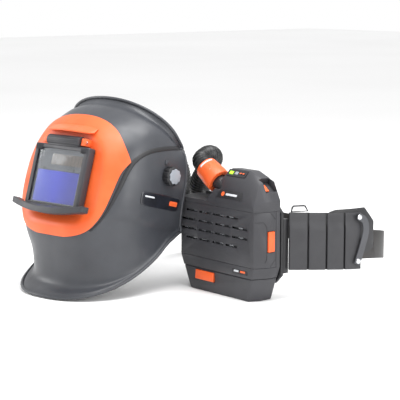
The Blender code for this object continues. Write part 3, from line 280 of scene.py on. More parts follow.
def helmet_point(across, row):
    """Point on the shell's outside in the helmet's frame: across runs -1 to 1 round a row."""
    i = min(int(row), LAST_ROW - 1)
    t = row - i
    near = [SHELL_ROWS[min(max(i + k, 0), LAST_ROW)] for k in (-1, 0, 1, 2)]
    front_y, front_z, rear_y, rear_z, half, power, drop = [
        0.5 * (2 * b + (c - a) * t + (2 * a - 5 * b + 4 * c - d) * t * t + (3 * b - a - 3 * c + d) * t ** 3)
        for a, b, c, d in zip(*near)]
    middle_y = 0.025
    if front_y > -0.090:
        middle_y += (front_y + 0.090) / 0.095 * 0.024
    middle_z = front_z + (rear_z - front_z) * (middle_y - front_y) / (rear_y - front_y)
    side = 1 if across >= 0 else -1
    turn = abs(across) * 14 / 12
    if turn < 1.0:
        angle = math.pi / 2 * turn
        c = math.cos(angle) ** (2 / power)
        s = math.sin(angle) ** (2 / power) if turn > 0 else 0.0
        x = half * s
        y = middle_y + (front_y - middle_y) * c
        z = middle_z + (front_z - middle_z) * c - 4 * drop * c * (1 - c)
        flat = -0.106 + 0.0165 / math.cos(LENS_LEAN) + (z - 0.190) * math.tan(LENS_LEAN)
        if flat > y and z < 0.275:
            y += (flat - y) * ease((z - 0.113) / 0.020)
    else:
        u = min((turn - 1.0) * 6, 1.0)
        x = half * (1 - 0.012 * u * u)
        y = middle_y + (rear_y - middle_y) * u
        z = middle_z + (rear_z - middle_z) * u
    below = crease_height(y) - z
    step = ease((below + 0.003) / 0.007) * (1 - ease((below - 0.008) / 0.045)) * ease((y + 0.110) / 0.030)
    return Vector((side * (x - CREASE_DEPTH * step * ease((x - 0.075) / 0.02)), y, z))


def helmet_skin(columns, rows, lift=0.0, low=0.0, high=LAST_ROW):
    """An open grid over the helmet, in its own frame, with its faces pointing out."""
    skin = bmesh.new()
    bmesh.ops.create_grid(skin, x_segments=columns, y_segments=rows, size=1.0)
    for vert in skin.verts:
        vert.co = helmet_point(vert.co.x, low + (high - low) * (vert.co.y + 1) / 2)
    skin.normal_update()
    front = min(skin.faces, key=lambda face: face.calc_center_median().y)
    if front.normal.y > 0:
        bmesh.ops.reverse_faces(skin, faces=skin.faces)
        skin.normal_update()
    for vert in skin.verts:
        vert.co += vert.normal * lift
    return skin


def settle(piece):
    """Applies a piece's modifiers to its mesh."""
    made = bpy.data.meshes.new_from_object(piece.evaluated_get(bpy.context.evaluated_depsgraph_get()))
    piece.modifiers.clear()
    old = piece.data
    piece.data = made
    bpy.data.meshes.remove(old)


def carve(piece, tool_bm, operation='DIFFERENCE'):
    """Cuts a closed shape out of a piece, or keeps only what lies inside it."""
    bmesh.ops.recalc_face_normals(tool_bm, faces=tool_bm.faces)
    mesh = bpy.data.meshes.new("tool")
    tool_bm.to_mesh(mesh)
    tool_bm.free()
    tool = bpy.data.objects.new("tool", mesh)
    scene.collection.objects.link(tool)
    cut = piece.modifiers.new("cut", 'BOOLEAN')
    cut.operation = operation
    cut.solver = 'EXACT'
    cut.object = tool
    settle(piece)
    bpy.data.objects.remove(tool, do_unlink=True)
    bpy.data.meshes.remove(mesh)


def block(size, place, bevel=0.0, segments=2):
    """A box, with rounded edges if asked, put in place by a matrix."""
    made = bmesh.new()
    bmesh.ops.create_cube(made, size=1.0)
    bmesh.ops.scale(made, vec=size, verts=made.verts)
    if bevel:
        bmesh.ops.bevel(made, geom=made.edges[:], offset=bevel, segments=segments, affect='EDGES',
                        profile=0.5, material=-1)
    bmesh.ops.transform(made, matrix=place, verts=made.verts)
    return made


def round_bar(radius, depth, place, segments=32, top=None, bevel=0.0):
    """A cylinder or cone along its own Z, put in place by a matrix."""
    made = bmesh.new()
    bmesh.ops.create_cone(made, cap_ends=True, cap_tris=False, segments=segments, radius1=radius,
                          radius2=radius if top is None else top, depth=depth)
    if bevel:
        rims = [edge for edge in made.edges if abs(edge.verts[0].co.z - edge.verts[1].co.z) < 1e-6]
        bmesh.ops.bevel(made, geom=rims, offset=bevel, segments=2, affect='EDGES', profile=0.5, material=-1)
    bmesh.ops.transform(made, matrix=place, verts=made.verts)
    return made


def aimed(centre, direction):
    """A matrix that puts a piece's Z along a direction at a place."""
    turn = Vector(direction).normalized().to_track_quat('Z', 'Y').to_matrix().to_4x4()
    return Matrix.Translation(centre) @ turn


def moulded(name, base, dark, light, roughness, grain_mm, relief, coat=0.0):
    """Injection-moulded plastic: a fine spark-eroded grain, slow colour drift and shiny handled patches."""
    made, tree, shader = new_material(name, base, roughness, Coat_Weight=coat, Coat_Roughness=0.25)
    place = add(tree, "ShaderNodeTexCoord").outputs["Object"]
    drift = add(tree, "ShaderNodeTexNoise", {"Scale": 14.0, "Detail": 3.0, "Roughness": 0.55}, Vector=place)
    tree.links.new(shades(tree, drift.outputs["Fac"], (0.3, dark), (0.72, light)),
                   shader.inputs["Base Color"])
    rub = add(tree, "ShaderNodeTexNoise", {"Scale": 45.0, "Detail": 4.0}, Vector=place)
    spread = add(tree, "ShaderNodeMapRange", {"From Min": 0.3, "From Max": 0.7, "To Min": roughness - 0.06,
                                              "To Max": roughness + 0.08}, Value=rub.outputs["Fac"])
    tree.links.new(spread.outputs["Result"], shader.inputs["Roughness"])
    pits = add(tree, "ShaderNodeTexNoise", {"Scale": 1000.0 / grain_mm, "Detail": 2.0}, Vector=place)
    bump = add(tree, "ShaderNodeBump", {"Strength": relief, "Distance": 0.0002}, Height=pits.outputs["Fac"])
    tree.links.new(bump.outputs["Normal"], shader.inputs["Normal"])
    return made


# Glass-filled polyamide with a satin mould grain: cool mid grey, broad soft highlights.
shell_plastic = moulded("glass_filled_polyamide_grey", "3A3C41", "34363B", "404247", 0.36, 1.3, 0.10)
bm = helmet_skin(112, 104)
bmesh.ops.transform(bm, matrix=HELMET, verts=bm.verts)
shell = piece_from("shell", bm, shell_plastic, "shield", "helmet_shell")
wall = shell.modifiers.new("wall", 'SOLIDIFY')
wall.thickness = SHELL_WALL
wall.offset = -1.0
wall.use_even_offset = True
settle(shell)
carve(shell, block((0.100, 0.120, 0.080), LENS))
for side in (1, -1):
    carve(shell, round_bar(0.0045, 0.040, HELMET @ aimed((side * 0.120, 0.022, 0.189), (1, 0, 0))))
shell.data.set_sharp_from_angle(angle=math.radians(40))

edge_path = [helmet_point(k / 40, 0) for k in range(-40, 40)]
edge_path += [helmet_point(1, LAST_ROW * k / 40) for k in range(40)]
edge_path += [helmet_point(-k / 40, LAST_ROW) for k in range(-40, 40)]
edge_path += [helmet_point(-1, LAST_ROW * (1 - k / 40)) for k in range(40)]
rolled_lip = rod("shell_rolled_lip", [HELMET @ (p + Vector((0, -0.0008, 0.0006))) for p in edge_path], 0.0024,
                 shell_plastic, "shield", closed=True, sides=3)

# ---------------------------------------------------------------- orange front bezel
# A separate orange moulding clipped over the face of the shell, 3 mm proud, with a brow that
# shades the hinge.  It is the same grid lifted off the shell and trimmed to its outline.
orange_plastic = moulded("orange_polyamide_satin", "E9602C", "E2571F", "EE6A36", 0.42, 1.3, 0.08)
BEZEL_TOP = ((-0.046, 0.300), (-0.0465, 0.284), (-0.048, 0.266), (-0.0515, 0.242), (-0.0510, 0.217))
BEZEL_LOW = ((-0.0510, 0.217), (-0.068, 0.201), (-0.084, 0.172), (-0.103, 0.131), (-0.113, 0.112),
             (-0.124, 0.099))


def side_curve(points, per_span=6):
    """A smooth side-view line through (y, z) points."""
    return [(p.x, p.y) for p in smooth_route([(y, z, 0) for y, z in points], per_span)]


def across_prism(outline, half=0.2):
    """A side-view outline drawn right across the helmet."""
    made = bmesh.new()
    corners = [made.verts.new((-half, y, z)) for y, z in outline]
    face = made.faces.new(corners)
    grown = bmesh.ops.extrude_face_region(made, geom=[face])
    moved = [item for item in grown["geom"] if isinstance(item, bmesh.types.BMVert)]
    bmesh.ops.translate(made, vec=(2 * half, 0, 0), verts=moved)
    return made


bm = helmet_skin(96, 72, lift=0.0003, low=3.2, high=10.2)
bmesh.ops.transform(bm, matrix=HELMET, verts=bm.verts)
bezel = piece_from("bezel", bm, orange_plastic, "shield", "front_bezel")
wall = bezel.modifiers.new("wall", 'SOLIDIFY')
wall.thickness = 0.0028
wall.offset = 1.0
wall.use_even_offset = True
settle(bezel)
outline = side_curve(BEZEL_TOP) + side_curve(BEZEL_LOW)[1:] + [(-0.200, 0.099), (-0.200, 0.300)]
tool = across_prism(outline)
bmesh.ops.transform(tool, matrix=HELMET, verts=tool.verts)
carve(bezel, tool, 'INTERSECT')
carve(bezel, block((0.106, 0.120, 0.086), LENS))
bezel.data.shade_smooth()
bezel.data.set_sharp_from_angle(angle=math.radians(40))

bm = bmesh.new()
bmesh.ops.create_grid(bm, x_segments=24, y_segments=6, size=1.0)
for vert in bm.verts:
    sweep, deep = vert.co.x, (vert.co.y + 1) / 2
    arch = 1 - sweep * sweep
    vert.co = (sweep * 0.052, -0.0640 - 0.0270 * deep * (0.35 + 0.65 * arch ** 0.5),
               0.2655 - 0.0060 * deep + 0.0035 * arch)
bmesh.ops.recalc_face_normals(bm, faces=bm.faces)
bmesh.ops.transform(bm, matrix=HELMET, verts=bm.verts)
brow = piece_from("hinge_brow", bm, orange_plastic, "shield")
wall = brow.modifiers.new("wall", 'SOLIDIFY')
wall.thickness = 0.0024
wall.offset = 0.0
soft = brow.modifiers.new("soft", 'BEVEL')
soft.width = 0.0008
soft.segments = 2
settle(brow)

for side in (1, -1):
    lug_place = LENS @ Matrix.Translation((side * 0.0435, 0.00725, 0.059))
    lug = piece_from("hinge_lug_" + ("right" if side > 0 else "left"),
                     block((0.009, 0.0165, 0.012), lug_place, bevel=0.0012), orange_plastic, "shield")

# ---------------------------------------------------------------- dark band, side badges and tilt stops
# A dark strip lies along the recessed groove that runs from the crown edge down behind the bezel on both
# sides; its black is painted shade standing for the shade in the groove.  Each side
# carries a dark enamelled badge, left blank but for plain bars, and a small stop for the tilt arm.
black_plastic = moulded("black_polyamide", "1C1C1F", "161618", "232327", 0.46, 1.0, 0.10)
badge_enamel, tree, shader = new_material("screen_printed_badge", "15171D", 0.28, Coat_Weight=0.4)
place = add(tree, "ShaderNodeTexCoord").outputs["Object"]
fleck = add(tree, "ShaderNodeTexNoise", {"Scale": 60.0, "Detail": 3.0}, Vector=place)
tree.links.new(shades(tree, fleck.outputs["Fac"], (0.35, "121319"), (0.7, "1D2029")),
               shader.inputs["Base Color"])
bm = helmet_skin(112, 104)
shell_tree = BVHTree.FromBMesh(bm)
bm.free()


def on_side(y, z, side, lift, surface=shell_tree):
    """The place on the helmet's side above a side-view point, lifted off it along its normal."""
    hit, normal, _, _ = surface.ray_cast(Vector((side * 0.3, y, z)), Vector((-side, 0, 0)))
    return hit + normal * lift


def side_patch(name, columns, rows, flat_place, side, lift, thick, finish, body):
    """A thin piece laid on the helmet's side; flat_place turns (-1..1, -1..1) into a side-view (y, z)."""
    made = bmesh.new()
    bmesh.ops.create_grid(made, x_segments=columns, y_segments=rows, size=1.0)
    for vert in made.verts:
        vert.co = HELMET @ on_side(*flat_place(vert.co.x, vert.co.y), side, lift)
    bmesh.ops.recalc_face_normals(made, faces=made.faces)
    out = HELMET.to_3x3() @ Vector((side, 0, 0))
    if sum(face.normal.dot(out) for face in made.faces) < 0:
        bmesh.ops.reverse_faces(made, faces=made.faces)
    patch = piece_from(name, made, finish, body)
    wall = patch.modifiers.new("wall", 'SOLIDIFY')
    wall.thickness = thick
    wall.offset = -1.0
    soft = patch.modifiers.new("soft", 'BEVEL')
    soft.width = min(thick * 0.3, 0.0004)
    settle(patch)
    return patch


BAND_LINE = ((0.058, 0.2300), (0.018, 0.2325), (-0.016, 0.2300), (-0.040, 0.2195), (-0.056, 0.2035),
             (-0.070, 0.1810), (-0.0825, 0.1590), (-0.094, 0.1370), (-0.1025, 0.1210), (-0.1085, 0.1110))
band_line = even_points(smooth_route([(y, z, 0) for y, z in BAND_LINE], 8), 60)[0]


def band_place(along, across):
    """Along the band from the crown edge to the chin; it narrows from 6.5 mm to 2 mm."""
    spot = (along + 1) / 2 * 60
    i = min(int(spot), 59)
    here = band_line[i].lerp(band_line[i + 1], spot - i)
    way = (band_line[i + 1] - band_line[i]).normalized()
    half = 0.0033 - 0.0022 * ease((along - 0.1) / 0.9)
    return here.x - way.y * across * half, here.y + way.x * across * half


BADGE_SLOPE = math.radians(-14.5)


def badge_place(size, centre):
    """Places a rounded oblong of that size at (along, up) from the badge's middle, on its slope."""
    def place(a, b):
        along = centre[0] + size[0] / 2 * a * (1 - 0.04 * b ** 6)
        up = centre[1] + size[1] / 2 * b * (1 - 0.14 * a ** 12)
        return (0.004 + along * math.cos(BADGE_SLOPE) - up * math.sin(BADGE_SLOPE),
                0.1495 + along * math.sin(BADGE_SLOPE) + up * math.cos(BADGE_SLOPE))
    return place


print_white = moulded("printed_light_grey", "C9CCD0", "C2C5CA", "D2D5D9", 0.45, 1.0, 0.05)
for side, label in ((1, "right"), (-1, "left")):
    # The dark strip along the groove is painted shade.
    side_patch("groove_shade_strip_" + label, 120, 2, band_place, side, 0.0009, 0.0014, black_plastic, "shield")
    side_patch("side_badge_" + label, 30, 8, badge_place((0.088, 0.0225), (0, 0)), side, 0.0008, 0.0012,
               badge_enamel, "shield")
    side_patch("badge_bar_orange_" + label, 8, 2, badge_place((0.020, 0.0075), (0.029, 0.0)), side, 0.0011,
               0.0004, orange_plastic, "shield")
    side_patch("badge_bar_light_" + label, 8, 2, badge_place((0.020, 0.0026), (-0.027, 0.0040)), side, 0.0011,
               0.0004, print_white, "shield")
    stop = HELMET @ aimed(on_side(0.019, 0.2105, side, 0.0008), (side, 0, 0.1))
    piece_from("tilt_stop_" + label, round_bar(0.0042, 0.0024, stop, bevel=0.0006), shell_plastic,
                       "shield")

# ---------------------------------------------------------------- tilt knobs
# Black fluted knobs of polyamide clamp the shell to the headgear's side arms; a lighter fluted cap
# is pressed into the end of each, over the steel bolt.
cap_plastic = moulded("moulded_light_grey_cap", "8E939B", "858A92", "999EA5", 0.42, 1.0, 0.08)


def merged_copy(node, bevel=0.0, segments=2, pick=None, angle=25.0):
    """A CAD node's mesh with its corners welded, its flat faces joined and its outer edges rounded."""
    made = bmesh.new()
    made.from_mesh(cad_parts[node].data)
    bmesh.ops.remove_doubles(made, verts=made.verts, dist=0.00001)
    bmesh.ops.dissolve_limit(made, angle_limit=math.radians(1.0), verts=made.verts, edges=made.edges)
    if bevel:
        limit = math.radians(angle)
        edges = [edge for edge in made.edges if edge.is_manifold and edge.is_convex
                 and edge.calc_face_angle(0.0) > limit and (pick is None or pick(edge))]
        bmesh.ops.bevel(made, geom=edges, offset=bevel, segments=segments, affect='EDGES', profile=0.5,
                        material=-1, clamp_overlap=True)
        bmesh.ops.remove_doubles(made, verts=made.verts, dist=0.00001)
    return made


def finer(node, finish, body, bevel, segments=2, pick=None, sharp=32.0):
    """The rounded piece that stands for a CAD node."""
    rounded = merged_copy(node, bevel, segments, pick)
    made = piece_from(node + "_moulding", rounded, finish, body, node, sharp=sharp)
    return made


def fluted_cap(radius, depth, flutes, place):
    made = round_bar(radius, depth, Matrix.Identity(4), segments=flutes * 12, bevel=0.0007)
    for vert in made.verts:
        turn = math.atan2(vert.co.y, vert.co.x)
        reach = (vert.co.x ** 2 + vert.co.y ** 2) ** 0.5
        swell = 1 + 0.055 * math.cos(turn * flutes) * min(reach / radius, 1.0) ** 4
        vert.co.x *= swell
        vert.co.y *= swell
    bmesh.ops.transform(made, matrix=place, verts=made.verts)
    return made


for side, label in ((1, "right"), (-1, "left")):
    body = "tilt_knob_" + label
    finer("tilt_knob_" + label, black_plastic, body, 0.0007, sharp=40.0)
    low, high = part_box("tilt_knob_" + label)
    centre = (Vector(low) + Vector(high)) / 2
    out = HELMET.to_3x3() @ Vector((side, 0, 0))
    cap = fluted_cap(0.0118, 0.0024, 9, aimed(centre + out * 0.0072, out))
    piece_from("knob_cap_" + label, cap, cap_plastic, body)

# ---------------------------------------------------------------- flip-up filter front
# A charcoal frame on a steel pin: a ribbed barrel at the top, a curved lift bar at the bottom, and
# behind a clear cover lens the welding filter with its solar cell, two sensors and blue glass.
charcoal_plastic = moulded("charcoal_polyamide", "323236", "2D2D31", "39393D", 0.46, 0.9, 0.16)
finer("flip_frame", charcoal_plastic, "flip_front", 0.0008)
finer("flip_lip", charcoal_plastic, "flip_front", 0.0011, sharp=25.0)
for k in range(6):
    for side in (1, -1):
        spot = LENS @ Matrix.Translation((side * (0.0455 + 0.0026 * k), -0.0033, 0.0452))
        rib = block((0.0013, 0.0016, 0.0095), spot, bevel=0.0004)
        name = "grip_rib_%s_%d" % ("right" if side > 0 else "left", k + 1)
        piece_from(name, rib, charcoal_plastic, "flip_front")
for k in range(9):
    turn = Matrix.Rotation(math.radians(-50 + 24 * k), 4, 'X')
    spot = LENS @ Matrix.Translation((0, 0.003, 0.059)) @ turn @ Matrix.Translation((0, -0.0086, 0))
    rib = block((0.0700, 0.0010, 0.0009), spot, bevel=0.0003)
    piece_from("barrel_rib_%d" % (k + 1), rib, charcoal_plastic, "flip_front")
# The thumb notch is drawn as a thin black block on the lift bar: its dark colour is painted shade in the
# notch.
notch = block((0.0230, 0.0010, 0.0030), LENS @ Matrix.Translation((0.002, -0.0033, -0.0475)), bevel=0.0004)
piece_from("thumb_notch_shade", notch, black_plastic, "flip_front")

case_plastic = moulded("filter_case_abs", "5D6067", "53565D", "6A6D74", 0.30, 1.4, 0.05, coat=0.3)
solar, tree, shader = new_material("amorphous_silicon_cell", "6F5F55", 0.25, Coat_Weight=0.5)
place = add(tree, "ShaderNodeTexCoord").outputs["Object"]
lens_place = add(tree, "ShaderNodeMapping", {"Rotation": (0.0, 0.0, math.radians(-8.0))}, Vector=place)
cells = add(tree, "ShaderNodeTexWave", {"Scale": 38.0, "bands_direction": 'X', "wave_profile": 'SAW'},
            Vector=lens_place.outputs["Vector"])
tree.links.new(shades(tree, cells.outputs["Fac"], (0.04, "3E342F"), (0.12, "75665B"), (0.95, "827266")),
               shader.inputs["Base Color"])
cell = block((0.070, 0.0004, 0.0175), LENS @ Matrix.Translation((0.0145, 0.00065, 0.0272)), bevel=0.0001)
piece_from("solar_cell", cell, solar, "flip_front")
for side, label in ((1, "right"), (-1, "left")):
    eye = round_bar(0.0019, 0.0004, LENS @ aimed((side * 0.0345, 0.00065, 0.0125), (0, -1, 0)), segments=20)
    piece_from("light_sensor_" + label, eye, black_plastic, "flip_front")

# Interference-coated welding glass: deep navy, with a painted reflection that runs from pale violet blue at
# one side to deep blue at the other.
weld_glass, tree, shader = new_material("interference_coated_glass", "3B4FD0", 0.10, metallic=0.25,
                                        Coat_Weight=1.0, Coat_Roughness=0.03)
place = add(tree, "ShaderNodeTexCoord").outputs["Object"]
centred = add(tree, "ShaderNodeMapping", {"Location": (0.199, 0.175, -0.160)}, Vector=place)
across = add(tree, "ShaderNodeSeparateXYZ", Vector=centred.outputs["Vector"])
span = add(tree, "ShaderNodeMapRange", {"From Min": -0.035, "From Max": 0.065}, Value=across.outputs["X"])
# The pale-to-deep ramp across the glass is a painted reflection.
sheen = shades(tree, span.outputs["Result"], (0.0, "8E9AE6"), (0.35, "4E5EE8"), (0.65, "3D4DF0"),
               (1.0, "2430C4"))
tree.links.new(sheen, shader.inputs["Base Color"])
clear_sheet, tree, shader = new_material("hard_coated_polycarbonate", "F2F5F7", 0.03, Transmission_Weight=1.0,
                                         IOR=1.58)
place = add(tree, "ShaderNodeTexCoord").outputs["Object"]
smear = add(tree, "ShaderNodeTexNoise", {"Scale": 30.0, "Detail": 3.0}, Vector=place)
wiped = add(tree, "ShaderNodeMapRange", {"To Min": 0.02, "To Max": 0.07}, Value=smear.outputs["Fac"])
tree.links.new(wiped.outputs["Result"], shader.inputs["Roughness"])


def repaint(finish, *nodes):
    """Gives CAD nodes whose shape is already right their real material."""
    for node in nodes:
        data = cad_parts[node].data
        data.materials.clear()
        data.materials.append(finish)


repaint(weld_glass, "filter_glass")
repaint(case_plastic, "filter_cassette")
repaint(clear_sheet, "cover_lens", "inner_lens", "grinding_visor")

# ---------------------------------------------------------------- blower casing
# Charcoal polyamide mouldings stacked with open seams: battery tray, rear housing, slotted filter
# cover and top housing.  Fine dark panel lines lie on the right flank; the badge is left plain.
finer("battery_case", charcoal_plastic, "battery", 0.0010)
finer("main_housing", charcoal_plastic, "blower", 0.0006)
finer("top_housing", charcoal_plastic, "blower", 0.0013, segments=3)
finer("filter_cover", charcoal_plastic, "blower", 0.0006)
finer("cover_latch", orange_plastic, "cover_latch", 0.0005)
finer("release_tab", orange_plastic, "release_tab", 0.0005)


def flank_point(y, z):
    """A point on the casing's right flank: the front chamfer, then the flat side."""
    return 0.0881 + 0.011 * min((y + 0.032) / 0.024, 1.0), y, z


FLANK_LINES = (((-0.0305, 0.128), (-0.017, 0.128), (-0.012, 0.120), (-0.012, 0.070), (-0.015, 0.064)),
               ((-0.0305, 0.1425), (-0.006, 0.1425), (0.004, 0.132)),
               ((-0.006, 0.0575), (0.004, 0.068)))
for k, line in enumerate(FLANK_LINES):
    corners = [Vector(flank_point(y, z)) for y, z in line]
    panel_line = rod("panel_line_%d" % (k + 1), corners, 0.00035, black_plastic, "blower")

FRONT_LEAN = Matrix.Rotation(math.radians(-5.6), 4, 'X')
HUMP_LEAN = Matrix.Rotation(math.radians(-23.1), 4, 'X')


def tapered_plate(size, taper, place, bevel=0.0002):
    """A thin plate whose top edge is narrower than its foot."""
    made = block(size, Matrix.Identity(4), bevel=bevel)
    for vert in made.verts:
        vert.co.x *= 1 - taper * (vert.co.z / size[2] + 0.5)
    bmesh.ops.transform(made, matrix=place, verts=made.verts)
    return made


badge = Matrix.Translation((0.028, -0.0271, 0.1645)) @ HUMP_LEAN
piece_from("plain_badge", tapered_plate((0.062, 0.0006, 0.0135), 0.16, badge), black_plastic,
                   "blower")
dot = round_bar(0.0036, 0.0004, badge @ aimed((-0.017, -0.0004, 0), (0, -1, 0)), segments=28)
piece_from("badge_dot", dot, orange_plastic, "blower")
bar = block((0.026, 0.0004, 0.0034), badge @ Matrix.Translation((0.003, -0.0004, 0)), bevel=0.0001)
piece_from("badge_bar", bar, print_white, "blower")
label = Matrix.Translation((0.056, -0.0314, 0.047)) @ FRONT_LEAN
piece_from("plain_label", block((0.035, 0.0005, 0.0085), label, bevel=0.0001), black_plastic,
                   "blower")
for name, along, finish, slot in (("light", -0.008, print_white, "moulded_light_grey"),
                                  ("orange", 0.007, orange_plastic, "moulded_orange")):
    bar = block((0.011, 0.0004, 0.0030), label @ Matrix.Translation((along, -0.0003, 0)), bevel=0.0001)
    piece_from("label_bar_" + name, bar, finish, "blower")

# The latch that frees the battery: an orange lug with rounded edges.
latch = merged_copy("battery_latch", 0.0006)
piece_from("battery_latch_moulding", latch, orange_plastic, "battery_latch", "battery_latch")

# ---------------------------------------------------------------- control panel
# A black label plate on the hump's slope with a green light window, a grey key and two marks.
panel_lean = math.atan2(0.013, 0.012)
panel_place = Matrix.Translation((0.026, -0.0108, 0.1973)) @ Matrix.Rotation(panel_lean, 4, 'X')
light_window, tree, shader = new_material("lit_light_pipe", "8FE01E", 0.25, Emission_Strength=0.9)
place = add(tree, "ShaderNodeTexCoord").outputs["Object"]
glow = add(tree, "ShaderNodeTexNoise", {"Scale": 160.0}, Vector=place)
lit = shades(tree, glow.outputs["Fac"], (0.3, "7DD411"), (0.7, "B4F03C"))
tree.links.new(lit, shader.inputs["Base Color"])
tree.links.new(lit, shader.inputs["Emission Color"])
repaint(light_window, "status_light")
repaint(cap_plastic, "power_key")
repaint(black_plastic, "control_panel")
for k, along in enumerate((0.009, 0.0155)):
    mark = block((0.0042, 0.0022, 0.0003), panel_place @ Matrix.Translation((along, 0, 0.0012)), bevel=0.0001)
    piece_from("panel_mark_%d" % (k + 1), mark, orange_plastic, "blower")

# ---------------------------------------------------------------- hose cuff
# Orange bayonet cuff with axial grip ribs, a pale strip at its hose end and one dark index mark.
finer("hose_cuff", orange_plastic, "hose_cuff", 0.0005, sharp=40.0)
cuff_start = Vector((-0.020, -0.008, 0.179))
cuff_way = Vector((-0.857, 0.0, 0.515)).normalized()
cuff_side = Vector((0.0, -1.0, 0.0))
cuff_up = cuff_way.cross(cuff_side)


def cuff_patch(name, start, length, low, high, lift, finish):
    """A thin curved patch on the cuff between two angles, measured up from the side facing front."""
    made = bmesh.new()
    bmesh.ops.create_grid(made, x_segments=20, y_segments=2, size=0.5)
    for vert in made.verts:
        turn = math.radians(low + (high - low) * (vert.co.x + 0.5))
        along = start + length * (vert.co.y + 0.5)
        radius = 0.0205 - 0.0020 * along / 0.038 + lift
        outward = cuff_side * math.cos(turn) + cuff_up * math.sin(turn)
        vert.co = cuff_start + cuff_way * along + outward * radius
    bmesh.ops.recalc_face_normals(made, faces=made.faces)
    patch = piece_from(name, made, finish, "hose_cuff")
    wall = patch.modifiers.new("wall", 'SOLIDIFY')
    wall.thickness = 0.0004
    wall.offset = 0.0
    settle(patch)


cuff_patch("cuff_strip", 0.0320, 0.0032, 18, 92, 0.0002, print_white)
cuff_patch("cuff_dot", 0.0150, 0.0020, 42, 48, 0.0002, print_white)
cuff_patch("cuff_index", 0.0130, 0.0090, -38, -30, 0.0002, black_plastic)
for k in range(16):
    cuff_patch("cuff_rib_%02d" % (k + 1), 0.0120, 0.0150, 22.5 * k + 8, 22.5 * k + 12, 0.0002, orange_plastic)

# ---------------------------------------------------------------- belt
# Semi-rigid pads with three hinge grooves, the plates behind them, and diagonal stays held by
# nickel-plated rivets.  The waist strap is cut hide, smooth outside, with a plain steel buckle.
pad_plastic = moulded("flexible_pad_elastomer", "2E2E31", "29292C", "353538", 0.52, 0.9, 0.20)
stay_plastic = moulded("stay_polyamide", "424347", "3C3D41", "494A4E", 0.52, 0.9, 0.14)

# Bright steel: drawn or plated, so its gloss is broken into fine scratches that run one way.
bright_steel, tree, shader = new_material("nickel_plated_steel", "D4D6D8", 0.24, metallic=1.0)
place = add(tree, "ShaderNodeTexCoord").outputs["Object"]
drawn = add(tree, "ShaderNodeMapping", {"Scale": (60.0, 60.0, 900.0)}, Vector=place)
scratch = add(tree, "ShaderNodeTexNoise", {"Scale": 1.0, "Detail": 3.0}, Vector=drawn.outputs["Vector"])
dulled = add(tree, "ShaderNodeMapRange", {"To Min": 0.16, "To Max": 0.34}, Value=scratch.outputs["Fac"])
tree.links.new(dulled.outputs["Result"], shader.inputs["Roughness"])
tree.links.new(shades(tree, scratch.outputs["Fac"], (0.3, "C6C9CC"), (0.7, "E2E4E6")),
               shader.inputs["Base Color"])

# Vegetable-tanned hide, dyed black: soft gloss over shallow pores about 0.8 mm apart.
hide, tree, shader = new_material("black_dyed_hide", "171413", 0.42, Coat_Weight=0.10, Coat_Roughness=0.35)
place = add(tree, "ShaderNodeTexCoord").outputs["Object"]
dye = add(tree, "ShaderNodeTexNoise", {"Scale": 24.0, "Detail": 5.0}, Vector=place)
tree.links.new(shades(tree, dye.outputs["Fac"], (0.3, "121010"), (0.6, "1B1817"), (0.85, "2C241E")),
               shader.inputs["Base Color"])
pores = add(tree, "ShaderNodeTexVoronoi", {"Scale": 1250.0}, Vector=place)
pebble = add(tree, "ShaderNodeBump", {"Strength": 0.25, "Distance": 0.0002}, Height=pores.outputs["Distance"])
tree.links.new(pebble.outputs["Normal"], shader.inputs["Normal"])

finer("back_plate", black_plastic, "blower", 0.0010)
finer("wire_loop", pad_plastic, "blower", 0.0, sharp=60.0)
BELT_ROUTE = ((0.1005, 0.032), (0.1185, 0.074), (0.1345, 0.116), (0.1420, 0.150), (0.1420, 0.192))
PAD_SHARE = 0.745                 # of that route, where a pad ends


def belt_point(side, share, height, lift):
    """A point on a pad at a share of its length, a height above its foot and a lift off its middle."""
    spot = min(max(share, 0.0), 1.0) * PAD_SHARE * (len(belt_line) - 1)
    i = min(int(spot), len(belt_line) - 2)
    here = belt_line[i].lerp(belt_line[i + 1], spot - i)
    ahead = (belt_line[i + 1] - belt_line[i]).normalized()
    low = 0.048 - 0.007 * share
    return Vector((side * (here.x + ahead.y * lift), here.y - ahead.x * lift, low + height))


def pad_plate(name, side, first, last, thick, face_lift, finish, *stands_for):
    """One hinged segment of a pad, bent to the belt's line; its top quarter slopes inwards."""
    made = bmesh.new()
    bmesh.ops.create_grid(made, x_segments=10, y_segments=16, size=0.5)
    for vert in made.verts:
        share = first + (last - first) * (vert.co.x + 0.5)
        height = 0.0004 + 0.0912 * (vert.co.y + 0.5)
        slope = 0.0017 * ease((height - 0.068) / 0.004) * (thick > 0.002)
        vert.co = belt_point(side, share, height, face_lift - slope)
    bmesh.ops.recalc_face_normals(made, faces=made.faces)
    out = belt_point(side, first, 0.05, 1.0) - belt_point(side, first, 0.05, 0.0)
    if sum(face.normal.dot(out) for face in made.faces) < 0:
        bmesh.ops.reverse_faces(made, faces=made.faces)
    plate = piece_from(name, made, finish, "blower", *stands_for, sharp=30.0)
    wall = plate.modifiers.new("wall", 'SOLIDIFY')
    wall.thickness = thick
    wall.offset = -1.0
    edge = plate.modifiers.new("edge", 'BEVEL')
    edge.width = min(0.0007, thick * 0.3)
    edge.segments = 2
    settle(plate)


